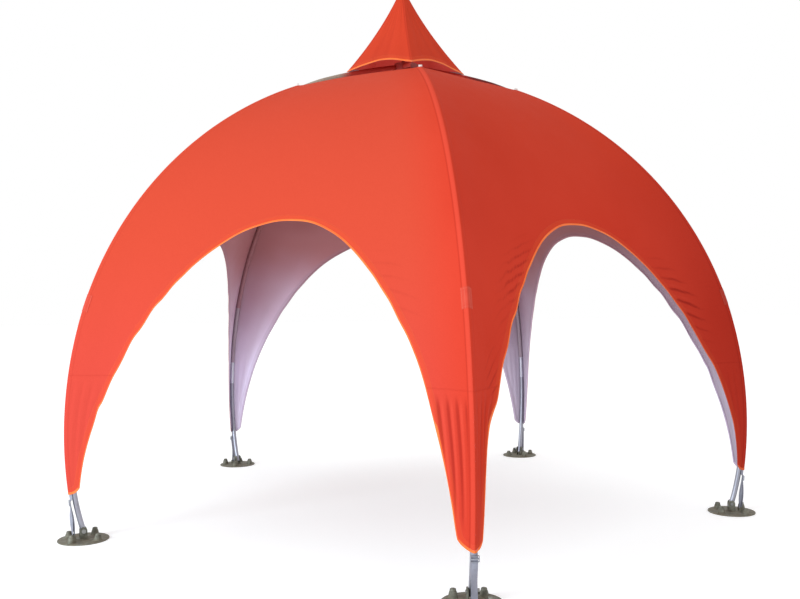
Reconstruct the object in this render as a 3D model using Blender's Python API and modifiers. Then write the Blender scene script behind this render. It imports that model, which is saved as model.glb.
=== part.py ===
# Event dome tent
# A round-shouldered canopy on five bowed ribs. Each rib stands on a round steel foot plate with stakes,
# the canopy reaches down each rib as a narrow tongue, and a pointed cap covers the vent at the crown.
# Metres, +Z up, the ground at z = 0, one leg towards -Y. The origin is below the middle of the footprint.

import math

import bmesh
import bpy
from mathutils import Matrix, Vector

# Layout
RIB_COUNT = 5
FOOT_SPACING = 3.0
SECTOR = 2.0 * math.pi / RIB_COUNT
FOOT_RADIUS = FOOT_SPACING / (2.0 * math.sin(SECTOR / 2.0))
FIT_GAP = 0.0003

# Foot plates, pins and stake sockets
PLATE_RADIUS = 0.175
PLATE_THICKNESS = 0.008
PIN_HEIGHT = 0.065
PIN_RADIUS = 0.006
PIN_HEAD_RADIUS = 0.011
PIN_HEAD_LENGTH = 0.007
PIN_KNOB_RADIUS = 0.015
PIN_KNOB_LENGTH = 0.016
CHEEK_GAP = 0.042
CHEEK_THICKNESS = 0.006
CHEEK_WIDTH = 0.05
CHEEK_HEIGHT = 0.092
SOCKET_CIRCLE = 0.125
SOCKET_RADIUS = 0.016
SOCKET_HEIGHT = 0.04
STAKE_HEAD_RADIUS = 0.021
STAKE_HEAD_HEIGHT = 0.017
BAR_OFFSET = 0.065
BAR_HEIGHT = 0.032
BAR_RADIUS = 0.005
LUG_GAP = 0.046
LUG_THICKNESS = 0.005
LUG_WIDTH = 0.024
LUG_HEIGHT = 0.044

# Rib line: the outer edge of the fabric along a rib, as three tangent arcs from the foot to the crown
RIB_START_RADIUS = 1.0219 * FOOT_RADIUS
RIB_START_HEIGHT = 0.0306 * FOOT_RADIUS
RIB_START_LEAN = math.radians(12.0)
RIB_ARCS = (
    (1.226 * FOOT_RADIUS, 0.576 * FOOT_RADIUS),
    (1.070 * FOOT_RADIUS, 0.990 * FOOT_RADIUS),
    (1.869 * FOOT_RADIUS, 0.3915 * FOOT_RADIUS),
)

# Poles
POLE_RADIUS = 0.019
POLE_DEPTH = 0.032
CROWN_POLE_DEPTH = 0.021
CROWN_RISE_LENGTH = 0.25
FERRULE_RADIUS = 0.0225
FERRULE_BOTTOM = 0.84
FERRULE_TOP = 1.06
CROWN_JOINT_HEIGHT = 2.44
HUB_RADIUS = 0.075
HUB_THICKNESS = 0.07
MAST_RADIUS = 0.0125
MAST_TOP_DROP = 0.0331

# Canopy
FABRIC = 0.003
TIP_HEIGHT = 0.1287 * FOOT_RADIUS
ARCH_HEIGHT = 0.8877 * FOOT_RADIUS
ARCH_HANDLES = ((0.06, 0.024), (0.2085, 0.615), (0.508, 1.0), (1.0, 1.0))
TOP_RADIUS = 0.37 * FOOT_RADIUS
RIB_ROUNDING = 0.02
SAG_AT_ARCH = 0.0649
SAG_AT_TOP = 0.012
TUCK_DEPTH = 0.0368
TUCK_WIDTH = 0.199
PANEL_COLUMNS = 16
PANEL_ROWS = 15
SEAM_CLEARANCE = 0.0021

# Cap
CAP_TIP_HEIGHT = 4.29
CAP_CORNER_RADIUS = 0.505
CAP_FLARE = 0.31
CAP_SCALLOP = 0.065
CAP_SEAT = 0.0045
CAP_COLUMNS = 20
CAP_ROWS = 8

# Straps and toggles
STRAP_WIDTH = 0.04
STRAP_THICKNESS = 0.0025
STRAP_LAP = 0.075
STRAP_CLEARANCE = 0.0042
BUCKLE_SIZE = (0.012, 0.05, 0.03)
BUCKLE_DROP = 0.04
TOGGLE_RADIUS = 0.014
TOGGLE_HEIGHT = 0.022

# Footprint: the tent is moved along Y so that the origin is under the middle of its box
FOOTPRINT_SHIFT = FOOT_RADIUS * (1.0 - math.cos(SECTOR / 2.0)) / 2.0


# Start from an empty scene
for old in list(bpy.data.objects):
    bpy.data.objects.remove(old, do_unlink=True)

parts = bpy.data.collections.new("event_dome_tent")
cutters = bpy.data.collections.new("cutters")
bpy.context.scene.collection.children.link(parts)
bpy.context.scene.collection.children.link(cutters)


def make_material(name, colour, roughness, metallic=0.0):
    material = bpy.data.materials.new(name)
    material.use_nodes = True
    shader = material.node_tree.nodes["Principled BSDF"]
    shader.inputs["Base Color"].default_value = (*colour, 1.0)
    shader.inputs["Roughness"].default_value = roughness
    shader.inputs["Metallic"].default_value = metallic
    material.diffuse_color = (*colour, 1.0)
    return material


canopy_red = make_material("canopy_red", (0.80, 0.095, 0.045), 0.75)
pole_metal = make_material("pole_metal", (0.42, 0.42, 0.42), 0.38, 1.0)
plate_steel = make_material("plate_steel", (0.12, 0.12, 0.105), 0.5, 1.0)
pin_steel = make_material("pin_steel", (0.30, 0.30, 0.29), 0.4, 1.0)
strap_grey = make_material("strap_grey", (0.34, 0.33, 0.33), 0.8)
toggle_white = make_material("toggle_white", (0.82, 0.80, 0.78), 0.4)


# The rib line
def rib_point(distance):
    """Radius, height and outward lean of the fabric's rib line at a distance along it."""
    radius = RIB_START_RADIUS
    height = RIB_START_HEIGHT
    lean = RIB_START_LEAN
    if distance < 0.0:
        return radius + distance * math.sin(lean), height + distance * math.cos(lean), lean
    left = distance
    for bend, length in RIB_ARCS:
        step = min(left, length)
        turned = lean - step / bend
        radius += bend * (math.cos(turned) - math.cos(lean))
        height += bend * (math.sin(lean) - math.sin(turned))
        lean = turned
        left -= step
        if left <= 0.0:
            break
    return radius, height, lean


RIB_LENGTH = sum(length for bend, length in RIB_ARCS)


def distance_at(test):
    """The distance along the rib line where a rising test value passes zero."""
    low = -0.1
    high = RIB_LENGTH
    for _ in range(60):
        middle = (low + high) / 2.0
        if test(middle) < 0.0:
            low = middle
        else:
            high = middle
    return (low + high) / 2.0


def distance_at_height(height):
    return distance_at(lambda distance: rib_point(distance)[1] - height)


PIN_DISTANCE = distance_at(
    lambda distance: rib_point(distance)[1]
    + (rib_point(distance)[0] - FOOT_RADIUS) * math.tan(RIB_START_LEAN)
    - PIN_HEIGHT
)
FOOT_DEPTH = (rib_point(PIN_DISTANCE)[0] - FOOT_RADIUS) / math.cos(RIB_START_LEAN)
DEPTH_FADE = 0.25


def distance_at_radius(wanted):
    """The distance along the rib line, past its widest point, where it has come in to a radius."""
    return distance_at(lambda distance: wanted - rib_point(distance)[0] if distance > 1.0 else -1.0)


TIP_DISTANCE = distance_at_height(TIP_HEIGHT)
TOP_DISTANCE = distance_at_radius(TOP_RADIUS)


def pole_point(distance):
    """The pole's centre line lies inside the rib line, deeper at the foot and shallower past the canopy."""
    radius, height, lean = rib_point(distance)
    extra = (FOOT_DEPTH - POLE_DEPTH) * math.exp(-(distance - PIN_DISTANCE) / DEPTH_FADE)
    past = min(max((distance - TOP_DISTANCE) / CROWN_RISE_LENGTH, 0.0), 1.0)
    rise = (POLE_DEPTH - CROWN_POLE_DEPTH) * past * past * (3.0 - 2.0 * past)
    depth = POLE_DEPTH + extra - rise
    return Vector((radius - depth * math.cos(lean), 0.0, height + depth * math.sin(lean)))


def link(obj, material, collection=parts):
    collection.objects.link(obj)
    obj.data.materials.append(material)
    return obj


def rib_axis(index):
    """An empty on the tent's axis, turned so that its +X points along rib number index."""
    name = "rib_axis_%d" % index
    empty = bpy.data.objects.get(name)
    if empty is None:
        empty = bpy.data.objects.new(name, None)
        empty.location = (0.0, FOOTPRINT_SHIFT, 0.0)
        empty.rotation_euler = (0.0, 0.0, -math.pi / 2.0 + (index - 1) * SECTOR)
        empty.empty_display_size = 0.2
        parts.objects.link(empty)
    return empty


def place_on_rib(obj, index, location=(0.0, 0.0, 0.0), turn=0.0):
    obj.parent = rib_axis(index)
    obj.location = location
    obj.rotation_euler = (0.0, 0.0, turn)
    return obj


def shade(mesh, angle=35.0):
    mesh.shade_smooth()
    mesh.set_sharp_from_angle(angle=math.radians(angle))


def cylinder(radius, height, segments, matrix):
    """A bmesh cylinder with its base at the origin of its matrix."""
    solid = bmesh.new()
    bmesh.ops.create_cone(
        solid, cap_ends=True, segments=segments, radius1=radius, radius2=radius, depth=height
    )
    bmesh.ops.translate(solid, vec=(0.0, 0.0, height / 2.0), verts=solid.verts)
    bmesh.ops.transform(solid, matrix=matrix, verts=solid.verts)
    return solid


def box(size, centre):
    solid = bmesh.new()
    bmesh.ops.create_cube(solid, size=1.0)
    bmesh.ops.scale(solid, vec=size, verts=solid.verts)
    bmesh.ops.translate(solid, vec=centre, verts=solid.verts)
    return solid


def outline(points, thickness):
    """A flat outline of (x, z) points with its thickness centred on y = 0."""
    solid = bmesh.new()
    corners = [solid.verts.new((x, -thickness / 2.0, z)) for x, z in points]
    face = solid.faces.new(corners)
    far_side = bmesh.ops.extrude_face_region(solid, geom=[face])["geom"]
    moved = [item for item in far_side if isinstance(item, bmesh.types.BMVert)]
    bmesh.ops.translate(solid, vec=(0.0, thickness, 0.0), verts=moved)
    bmesh.ops.recalc_face_normals(solid, faces=solid.faces)
    return solid


def round_topped(width, bottom, top, steps=8):
    """An upright tab: straight sides and a half-round top."""
    radius = width / 2.0
    points = [(-radius, bottom), (radius, bottom)]
    for step in range(steps + 1):
        angle = math.pi * step / steps
        points.append((radius * math.cos(angle), top - radius + radius * math.sin(angle)))
    return points


def finish_mesh(solid, name):
    mesh = bpy.data.meshes.new(name)
    solid.to_mesh(mesh)
    solid.free()
    return mesh


ALONG_Y = Matrix.Rotation(-math.pi / 2.0, 4, "X")


def evaluated_mesh(obj, name):
    """The object's mesh with its modifiers applied and its own place left out."""
    depsgraph = bpy.context.evaluated_depsgraph_get()
    mesh = bpy.data.meshes.new_from_object(obj.evaluated_get(depsgraph))
    mesh.name = name
    return mesh


def combine(name, solids, holes=()):
    """Join bmesh solids into one mesh with exact Booleans, then cut the holes."""
    base = bpy.data.objects.new(name + "_base", finish_mesh(solids[0], name + "_base"))
    cutters.objects.link(base)
    tools = [base]
    for operation, group in (("UNION", solids[1:]), ("DIFFERENCE", holes)):
        for number, solid in enumerate(group):
            tool_name = "%s_%s_%d" % (name, operation.lower(), number)
            tool = bpy.data.objects.new(tool_name, finish_mesh(solid, tool_name))
            tool.hide_render = True
            tool.display_type = "WIRE"
            cutters.objects.link(tool)
            modifier = base.modifiers.new(tool_name, "BOOLEAN")
            modifier.operation = operation
            modifier.solver = "EXACT"
            modifier.object = tool
            tools.append(tool)
    bpy.context.view_layer.update()
    mesh = evaluated_mesh(base, name)
    for tool in tools:
        bpy.data.objects.remove(tool, do_unlink=True)
    return mesh


# Foot plates: one welded piece with its stakes driven in
def foot_plate_mesh():
    solids = [cylinder(PLATE_RADIUS, PLATE_THICKNESS, 40, Matrix())]
    for side in (-1.0, 1.0):
        cheek = outline(round_topped(CHEEK_WIDTH, PLATE_THICKNESS / 2.0, CHEEK_HEIGHT), CHEEK_THICKNESS)
        bmesh.ops.translate(cheek, vec=(0.0, side * (CHEEK_GAP + CHEEK_THICKNESS) / 2.0, 0.0), verts=cheek.verts)
        lug = outline(round_topped(LUG_WIDTH, PLATE_THICKNESS / 2.0, LUG_HEIGHT), LUG_THICKNESS)
        bmesh.ops.translate(lug, vec=(BAR_OFFSET, side * (LUG_GAP + LUG_THICKNESS) / 2.0, 0.0), verts=lug.verts)
        solids.extend((cheek, lug))
    bar_start = Matrix.Translation((BAR_OFFSET, -LUG_GAP / 2.0 - 0.003, BAR_HEIGHT))
    solids.append(cylinder(BAR_RADIUS, LUG_GAP + 0.006, 12, bar_start @ ALONG_Y))
    for corner in range(4):
        angle = math.pi / 4.0 + corner * math.pi / 2.0
        x = SOCKET_CIRCLE * math.cos(angle)
        y = SOCKET_CIRCLE * math.sin(angle)
        base = Matrix.Translation((x, y, PLATE_THICKNESS - 0.002))
        solids.append(cylinder(SOCKET_RADIUS, SOCKET_HEIGHT, 8, base))
        head = Matrix.Translation((x, y, PLATE_THICKNESS + SOCKET_HEIGHT - 0.004))
        solids.append(cylinder(STAKE_HEAD_RADIUS, STAKE_HEAD_HEIGHT, 8, head))
    bore_length = CHEEK_GAP + 2.0 * CHEEK_THICKNESS + 0.02
    bore = Matrix.Translation((0.0, -bore_length / 2.0, PIN_HEIGHT)) @ ALONG_Y
    holes = [cylinder((PIN_RADIUS + FIT_GAP) / math.cos(math.pi / 12.0), bore_length, 12, bore)]
    mesh = combine("foot_plate", solids, holes)
    shade(mesh)
    return mesh


# Foot pins: a turned shaft through both cheeks with a flat head and a dark hand knob
def foot_pin_mesh():
    half = CHEEK_GAP / 2.0 + CHEEK_THICKNESS + FIT_GAP
    shaft = Matrix.Translation((0.0, -half - 0.001, PIN_HEIGHT)) @ ALONG_Y
    head = Matrix.Translation((0.0, -half - PIN_HEAD_LENGTH, PIN_HEIGHT)) @ ALONG_Y
    knob = Matrix.Translation((0.0, half, PIN_HEIGHT)) @ ALONG_Y
    solids = [
        cylinder(PIN_RADIUS, 2.0 * half + 0.002, 12, shaft),
        cylinder(PIN_HEAD_RADIUS, PIN_HEAD_LENGTH, 12, head),
        cylinder(PIN_KNOB_RADIUS, PIN_KNOB_LENGTH, 12, knob),
    ]
    mesh = combine("foot_pin", solids)
    shade(mesh)
    return mesh


# Poles: bent round bars along the rib, the lower one with a riveted ferrule
def pole_curve(name, stops):
    """A round bar through (distance, radius) stops on the pole line."""
    curve = bpy.data.curves.new(name, "CURVE")
    curve.dimensions = "3D"
    curve.bevel_depth = POLE_RADIUS
    curve.bevel_resolution = 2
    curve.use_fill_caps = True
    spline = curve.splines.new("POLY")
    spline.points.add(len(stops) - 1)
    for point, (distance, radius) in zip(spline.points, stops):
        point.co = (*pole_point(distance), 1.0)
        point.radius = radius / POLE_RADIUS
    return curve


def even_stops(start, end, count, radius=POLE_RADIUS):
    """Evenly spaced stops, with a short one at each end so that neighbouring ends face each other squarely."""
    stops = [(start + (end - start) * step / count, radius) for step in range(count + 1)]
    stops.insert(1, (start + END_STUB, radius))
    stops.insert(-1, (end - END_STUB, radius))
    return stops


def curve_solid(curve, name):
    """The curve's bar as a closed mesh with its end caps welded on."""
    holder = bpy.data.objects.new(name + "_line", curve)
    cutters.objects.link(holder)
    bpy.context.view_layer.update()
    mesh = evaluated_mesh(holder, name)
    bpy.data.objects.remove(holder, do_unlink=True)
    solid = bmesh.new()
    solid.from_mesh(mesh)
    bpy.data.meshes.remove(mesh)
    bmesh.ops.remove_doubles(solid, verts=solid.verts, dist=0.00005)
    bmesh.ops.recalc_face_normals(solid, faces=solid.faces)
    return solid


FERRULE_START = distance_at_height(FERRULE_BOTTOM)
FERRULE_END = distance_at_height(FERRULE_TOP)
CROWN_JOINT = distance_at_height(CROWN_JOINT_HEIGHT)
LEG_START = PIN_DISTANCE - 0.027
END_STUB = 0.01
SHOULDER = 0.0012


def leg_pole_mesh():
    stops = even_stops(LEG_START, FERRULE_START, 6)
    stops.append((FERRULE_START + SHOULDER, FERRULE_RADIUS))
    stops.append(((FERRULE_START + FERRULE_END) / 2.0, FERRULE_RADIUS))
    stops.append((FERRULE_END - END_STUB, FERRULE_RADIUS))
    stops.append((FERRULE_END, FERRULE_RADIUS))
    bar = curve_solid(pole_curve("leg_pole", stops), "leg_pole")
    bore_length = 3.0 * POLE_RADIUS
    bore = Matrix.Translation((FOOT_RADIUS, -bore_length / 2.0, PIN_HEIGHT)) @ ALONG_Y
    hole = cylinder((PIN_RADIUS + FIT_GAP) / math.cos(math.pi / 12.0), bore_length, 12, bore)
    mesh = combine("leg_pole", [bar], [hole])
    shade(mesh)
    return mesh


def bar_mesh(name, start, end, count):
    mesh = finish_mesh(curve_solid(pole_curve(name, even_stops(start, end, count)), name), name)
    shade(mesh)
    return mesh


def crown_end():
    """Where the crown pole meets the side of the hub."""
    low = CROWN_JOINT
    high = RIB_LENGTH
    for _ in range(60):
        middle = (low + high) / 2.0
        if pole_point(middle).x > HUB_RADIUS + 0.004:
            low = middle
        else:
            high = middle
    return low


CROWN_END = crown_end()
HUB_HEIGHT = pole_point(CROWN_END).z


# Canopy panels: a grid of columns from the arch edge up to the vent edge, given its thickness inwards
def arch_rise(share):
    """Height of the arch edge, 0 at the tongue's tip and 1 at the apex, at a share of the half width."""
    low = 0.0
    high = 1.0
    corner, corner_rise = ARCH_HANDLES[0]
    if share <= corner:
        return corner_rise * (share / corner) ** 1.8
    for _ in range(40):
        along = (low + high) / 2.0
        if bezier(along, 0) < share:
            low = along
        else:
            high = along
    return bezier(low, 1)


def bezier(along, axis):
    first, second, third, fourth = (handle[axis] for handle in ARCH_HANDLES)
    back = 1.0 - along
    return (
        first * back ** 3
        + 3.0 * second * back * back * along
        + 3.0 * third * back * along * along
        + fourth * along ** 3
    )


def arch_distance(share):
    """Distance along the rib line of the arch edge, for a share of the panel's width from 0 to 1."""
    rise = arch_rise(2.0 * min(share, 1.0 - share))
    return distance_at_height(TIP_HEIGHT + (ARCH_HEIGHT - TIP_HEIGHT) * rise)


def tuck(beside, share, upward):
    """How far the cloth's free edge pulls inwards beside a rib."""
    grown = 1.0 - math.exp(-(beside / TUCK_WIDTH) ** 2)
    return TUCK_DEPTH * grown * math.cos(math.pi * share) ** 2 * (1.0 - upward ** 2)


def panel_point(share, distance):
    """A point of the canopy's outer face between the ribs at -36 and +36 degrees."""
    radius, height, lean = rib_point(distance)
    half = SECTOR / 2.0
    chord = 2.0 * radius * math.sin(half)
    upward = max((distance - TIP_DISTANCE) / (TOP_DISTANCE - TIP_DISTANCE), 0.0)
    sag = chord * (SAG_AT_ARCH + (SAG_AT_TOP - SAG_AT_ARCH) * upward ** 2)
    corners = []
    for side in (-1.0, 1.0):
        outward = Vector((math.cos(lean) * math.cos(half), side * math.cos(lean) * math.sin(half), -math.sin(lean)))
        foot = Vector((radius * math.cos(half), side * radius * math.sin(half), height))
        corners.append((foot, outward))
    middle_out = Vector((math.cos(lean), 0.0, -math.sin(lean)))
    point = Vector((0.0, 0.0, 0.0))
    slope = math.tan(half) * math.cos(lean) + 4.0 * sag / chord
    for (foot, outward), weight in zip(corners, (1.0 - share, share)):
        across = (1.0 - weight) * chord * math.cos(half)
        rounding = math.sqrt((slope * across) ** 2 + RIB_ROUNDING ** 2) - slope * across
        point += weight * (foot + RIB_ROUNDING * outward) - rounding * outward
    inwards = 4.0 * sag * share * (1.0 - share) + tuck(min(share, 1.0 - share) * chord, share, upward)
    return point - inwards * middle_out


TIP_SHARE = ARCH_HANDLES[0][0] / 2.0


def panel_mesh():
    grid = bmesh.new()
    bmesh.ops.create_grid(grid, x_segments=PANEL_COLUMNS, y_segments=PANEL_ROWS, size=1.0)
    for vertex in grid.verts:
        spread = abs(vertex.co.x)
        side = 1.0 if vertex.co.x > 0.0 else -1.0
        inner_share = 0.5 * (1.0 - spread) ** 2.0
        if abs(inner_share - TIP_SHARE) < 0.004:
            inner_share = TIP_SHARE
        share = 0.5 + side * (0.5 - inner_share)
        upward = (vertex.co.y + 1.0) / 2.0
        low = arch_distance(share)
        distance = low + (TOP_DISTANCE - low) * upward
        chord = 2.0 * rib_point(distance)[0] * math.sin(SECTOR / 2.0)
        edge = SEAM_CLEARANCE / (chord * math.cos(SECTOR / 2.0))
        share = min(max(share, edge), 1.0 - edge)
        vertex.co = panel_point(share, distance)
    bmesh.ops.recalc_face_normals(grid, faces=grid.faces)
    middle = min(grid.faces, key=lambda face: abs(face.calc_center_median().y))
    if middle.normal.dot(middle.calc_center_median()) < 0.0:
        bmesh.ops.reverse_faces(grid, faces=grid.faces)
    mesh = finish_mesh(grid, "canopy_panel")
    shade(mesh, 60.0)
    return mesh


# Cap: a five-cornered cone with a flared, scalloped hem
def cap_radius(drop):
    """Corner radius of the cap at a depth below its tip."""
    down = drop / CAP_DROP
    return CAP_CORNER_RADIUS * ((1.0 - CAP_FLARE) * down + CAP_FLARE * down * down)


CORNER_POLE = pole_point(distance_at_radius(CAP_CORNER_RADIUS))
CAP_CORNER_HEIGHT = CORNER_POLE.z + POLE_RADIUS + CAP_SEAT
CAP_DROP = CAP_TIP_HEIGHT - CAP_CORNER_HEIGHT


def cap_mesh():
    grid = bmesh.new()
    bmesh.ops.create_grid(grid, x_segments=CAP_COLUMNS, y_segments=CAP_ROWS, size=1.0)
    for vertex in grid.verts:
        angle = (vertex.co.x + 1.0) * math.pi
        down = (1.0 - vertex.co.y) / 2.0
        from_middle = (angle % SECTOR) - SECTOR / 2.0
        toward_corner = abs(from_middle) / (SECTOR / 2.0)
        edge_drop = CAP_DROP - CAP_SCALLOP * (1.0 - toward_corner ** 2)
        drop = edge_drop * down
        flat = math.cos(SECTOR / 2.0) / math.cos(from_middle)
        flatness = min(1.0, drop / 0.3)
        radius = cap_radius(drop) * (1.0 + (flat - 1.0) * flatness)
        vertex.co = (radius * math.cos(angle), radius * math.sin(angle), CAP_TIP_HEIGHT - drop)
    bmesh.ops.remove_doubles(grid, verts=grid.verts, dist=0.0001)
    bmesh.ops.recalc_face_normals(grid, faces=grid.faces)
    side = max(grid.faces, key=lambda face: face.calc_center_median().x)
    if side.normal.x < 0.0:
        bmesh.ops.reverse_faces(grid, faces=grid.faces)
    mesh = finish_mesh(grid, "cap")
    shade(mesh, 60.0)
    return mesh


# Straps: webbing from the inner face of the tongue down to the bar on the foot plate, with a buckle
def fold_depth(across, lean):
    """How far the canopy falls back from the rib line at a distance to its side."""
    half = SECTOR / 2.0
    flat = across / (1.0 - 4.0 * SAG_AT_ARCH * math.tan(half) * math.cos(lean))
    slope = math.tan(half) * math.cos(lean) + 4.0 * SAG_AT_ARCH
    fold = math.sqrt((slope * flat) ** 2 + RIB_ROUNDING ** 2) - RIB_ROUNDING
    return fold + tuck(flat / math.cos(half), 0.0, 0.0)


def lap_point(up, across):
    """A point of the strap's outer face in the tongue's fold, at a height above the tip.

    The tongue's lowest row of faces is straight, so the strap is straight there too.
    """
    row = (TOP_DISTANCE - TIP_DISTANCE) / PANEL_ROWS
    ends = []
    for distance in (TIP_DISTANCE, TIP_DISTANCE + row):
        radius, height, lean = rib_point(distance)
        depth = FABRIC + STRAP_CLEARANCE + fold_depth(across, lean)
        ends.append(Vector((radius - depth * math.cos(lean), across, height + depth * math.sin(lean))))
    return ends[0].lerp(ends[1], up / row)


def strap_rows(across):
    """The strap's outer face at a distance from its middle, from the bar's far side up to the lap's end."""
    reach = BAR_RADIUS + FIT_GAP + STRAP_THICKNESS
    rows = []
    for step in range(7):
        angle = math.radians(200.0 + 160.0 * step / 6.0)
        x = FOOT_RADIUS + BAR_OFFSET + reach * math.cos(angle)
        rows.append(Vector((x, across, BAR_HEIGHT + reach * math.sin(angle))))
    flat_end = lap_point(0.0, 0.0)
    flat_end.y = across
    for step in (1, 2, 3):
        rows.append(rows[6].lerp(flat_end, 0.31 * step))
    for step in range(5):
        rows.append(lap_point(0.004 + (STRAP_LAP - 0.004) * step / 4.0, across))
    return rows


def strap_mesh():
    row_count = len(strap_rows(0.0)) - 1
    ribbon = bmesh.new()
    bmesh.ops.create_grid(ribbon, x_segments=4, y_segments=row_count, size=1.0)
    for vertex in ribbon.verts:
        step = round((vertex.co.y + 1.0) / 2.0 * row_count)
        vertex.co = strap_rows(vertex.co.x * STRAP_WIDTH / 2.0)[step]
    bmesh.ops.recalc_face_normals(ribbon, faces=ribbon.faces)
    top = max(ribbon.faces, key=lambda face: face.calc_center_median().z)
    if top.normal.x < 0.0:
        bmesh.ops.reverse_faces(ribbon, faces=ribbon.faces)
    band = bpy.data.objects.new("strap_band", finish_mesh(ribbon, "strap_band"))
    cutters.objects.link(band)
    thicken = band.modifiers.new("thickness", "SOLIDIFY")
    thicken.thickness = STRAP_THICKNESS
    thicken.offset = -1.0
    bpy.context.view_layer.update()
    solid = bmesh.new()
    solid.from_mesh(evaluated_mesh(band, "strap_solid"))
    bpy.data.objects.remove(band, do_unlink=True)
    middle = strap_rows(0.0)
    lower = middle[6]
    upper = lap_point(0.0, 0.0)
    run = (upper - lower).normalized()
    centre = upper - run * BUCKLE_DROP
    buckle = box(BUCKLE_SIZE, (0.0, 0.0, 0.0))
    tilt = Matrix.Rotation(math.atan2(run.x, run.z), 3, "Y")
    bmesh.ops.rotate(buckle, cent=(0, 0, 0), matrix=tilt, verts=buckle.verts)
    bmesh.ops.translate(buckle, vec=(centre.x + 0.003, 0.0, centre.z), verts=buckle.verts)
    result = combine("strap", [solid, buckle])
    shade(result)
    return result


# Toggles: small white buttons standing on the poles where the canopy's top corners end
def toggle_place():
    distance = TOP_DISTANCE + TOGGLE_RADIUS + 0.004
    lean = rib_point(distance)[2]
    return pole_point(distance), lean


def toggle_mesh():
    lift = POLE_RADIUS + FIT_GAP
    mesh = finish_mesh(cylinder(TOGGLE_RADIUS, TOGGLE_HEIGHT, 16, Matrix.Translation((0.0, 0.0, lift))), "toggle")
    shade(mesh)
    return mesh


def add_set(name, mesh, material, location=(0.0, 0.0, 0.0), turn=0.0):
    """One object on each rib, all sharing one mesh."""
    mesh.materials.append(material)
    for index in range(1, RIB_COUNT + 1):
        obj = bpy.data.objects.new("%s_%d" % (name, index), mesh)
        parts.objects.link(obj)
        place_on_rib(obj, index, location, turn)


# Feet
add_set("foot_plate", foot_plate_mesh(), plate_steel, (FOOT_RADIUS, 0.0, 0.0))
add_set("foot_pin", foot_pin_mesh(), pin_steel, (FOOT_RADIUS, 0.0, 0.0))
add_set("strap", strap_mesh(), strap_grey)

# Poles
add_set("leg_pole", leg_pole_mesh(), pole_metal)
add_set("arch_pole", bar_mesh("arch_pole", FERRULE_END + FIT_GAP, CROWN_JOINT, 8), pole_metal)
add_set("crown_pole", bar_mesh("crown_pole", CROWN_JOINT + FIT_GAP, CROWN_END, 8), pole_metal)

# Canopy: panel number n hangs between rib n and rib n + 1
shared_panel = panel_mesh()
add_set("canopy_panel", shared_panel, canopy_red, (0.0, 0.0, 0.0), SECTOR / 2.0)
for panel_index in range(1, RIB_COUNT + 1):
    panel = bpy.data.objects["canopy_panel_%d" % panel_index]
    cloth = panel.modifiers.new("cloth thickness", "SOLIDIFY")
    cloth.thickness = FABRIC
    cloth.offset = -1.0

# Toggles, tilted to stand square on the poles
spot, spot_lean = toggle_place()
add_set("toggle", toggle_mesh(), toggle_white, tuple(spot))
for toggle_index in range(1, RIB_COUNT + 1):
    bpy.data.objects["toggle_%d" % toggle_index].rotation_euler = (0.0, math.pi / 2.0 + spot_lean, 0.0)

# Crown hub, mast and cap
crown = bpy.data.objects.new("crown_axis", None)
crown.location = (0.0, FOOTPRINT_SHIFT, 0.0)
crown.rotation_euler = (0.0, 0.0, -math.pi / 2.0)
parts.objects.link(crown)

hub_base = Matrix.Translation((0.0, 0.0, HUB_HEIGHT - HUB_THICKNESS / 2.0))
hub = link(bpy.data.objects.new("crown_hub", finish_mesh(cylinder(HUB_RADIUS, HUB_THICKNESS, 30, hub_base), "hub")),
           pole_metal)
shade(hub.data)
hub.parent = crown

mast_base_height = HUB_HEIGHT + HUB_THICKNESS / 2.0 + FIT_GAP
mast_top_height = CAP_TIP_HEIGHT - MAST_TOP_DROP
mast_base = Matrix.Translation((0.0, 0.0, mast_base_height))
mast_solid = cylinder(MAST_RADIUS, mast_top_height - mast_base_height, 16, mast_base)
mast = link(bpy.data.objects.new("cap_mast", finish_mesh(mast_solid, "mast")), pole_metal)
shade(mast.data)
mast.parent = crown

cap = link(bpy.data.objects.new("cap", cap_mesh()), canopy_red)
cap.parent = crown
cap_cloth = cap.modifiers.new("cloth thickness", "SOLIDIFY")
cap_cloth.thickness = FABRIC
cap_cloth.offset = -1.0

bpy.context.view_layer.update()
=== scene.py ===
# %% [markdown]
# # Event dome tent
# Five bowed ribs carry one red canopy that reaches down each rib as a narrow tongue. Each rib stands on a
# round steel foot plate, and a pointed cap covers the vent at the crown.
#
# The solids of the tent come ready made as the frame. This lesson dresses them: it sews the cloth, its
# orange edge tape and its sleeves, turns smooth bars for the ribs, and gives every surface a finish built
# from nodes. The first step loads the frame.

import math
from contextlib import contextmanager

import bpy
import numpy as np
from mathutils import Matrix, Vector


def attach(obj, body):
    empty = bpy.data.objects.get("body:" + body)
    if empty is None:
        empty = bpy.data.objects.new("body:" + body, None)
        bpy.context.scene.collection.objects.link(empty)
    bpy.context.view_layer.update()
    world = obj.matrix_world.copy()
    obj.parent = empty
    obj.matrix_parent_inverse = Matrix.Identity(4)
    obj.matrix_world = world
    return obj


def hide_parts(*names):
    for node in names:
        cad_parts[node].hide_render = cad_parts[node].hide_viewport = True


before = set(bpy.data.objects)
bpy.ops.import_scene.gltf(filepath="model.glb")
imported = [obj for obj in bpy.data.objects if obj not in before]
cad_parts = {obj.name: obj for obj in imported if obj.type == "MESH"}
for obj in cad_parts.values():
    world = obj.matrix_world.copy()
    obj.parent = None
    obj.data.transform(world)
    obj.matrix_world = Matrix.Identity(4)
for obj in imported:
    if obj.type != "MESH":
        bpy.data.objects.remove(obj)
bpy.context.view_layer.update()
bpy.ops.object.select_all(action="DESELECT")

# %% [markdown]
# ## The rib line again
# Everything on this tent hangs from one line: the outer edge of the cloth along a rib. It is three arcs
# that run into each other, from the foot to the crown. A reader could trace it by eye with a curve, but
# then cloth, bars and straps would each be a little different. The same few numbers as in the frame keep
# them together, and working on whole arrays of distances makes thousands of points at once.

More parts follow.
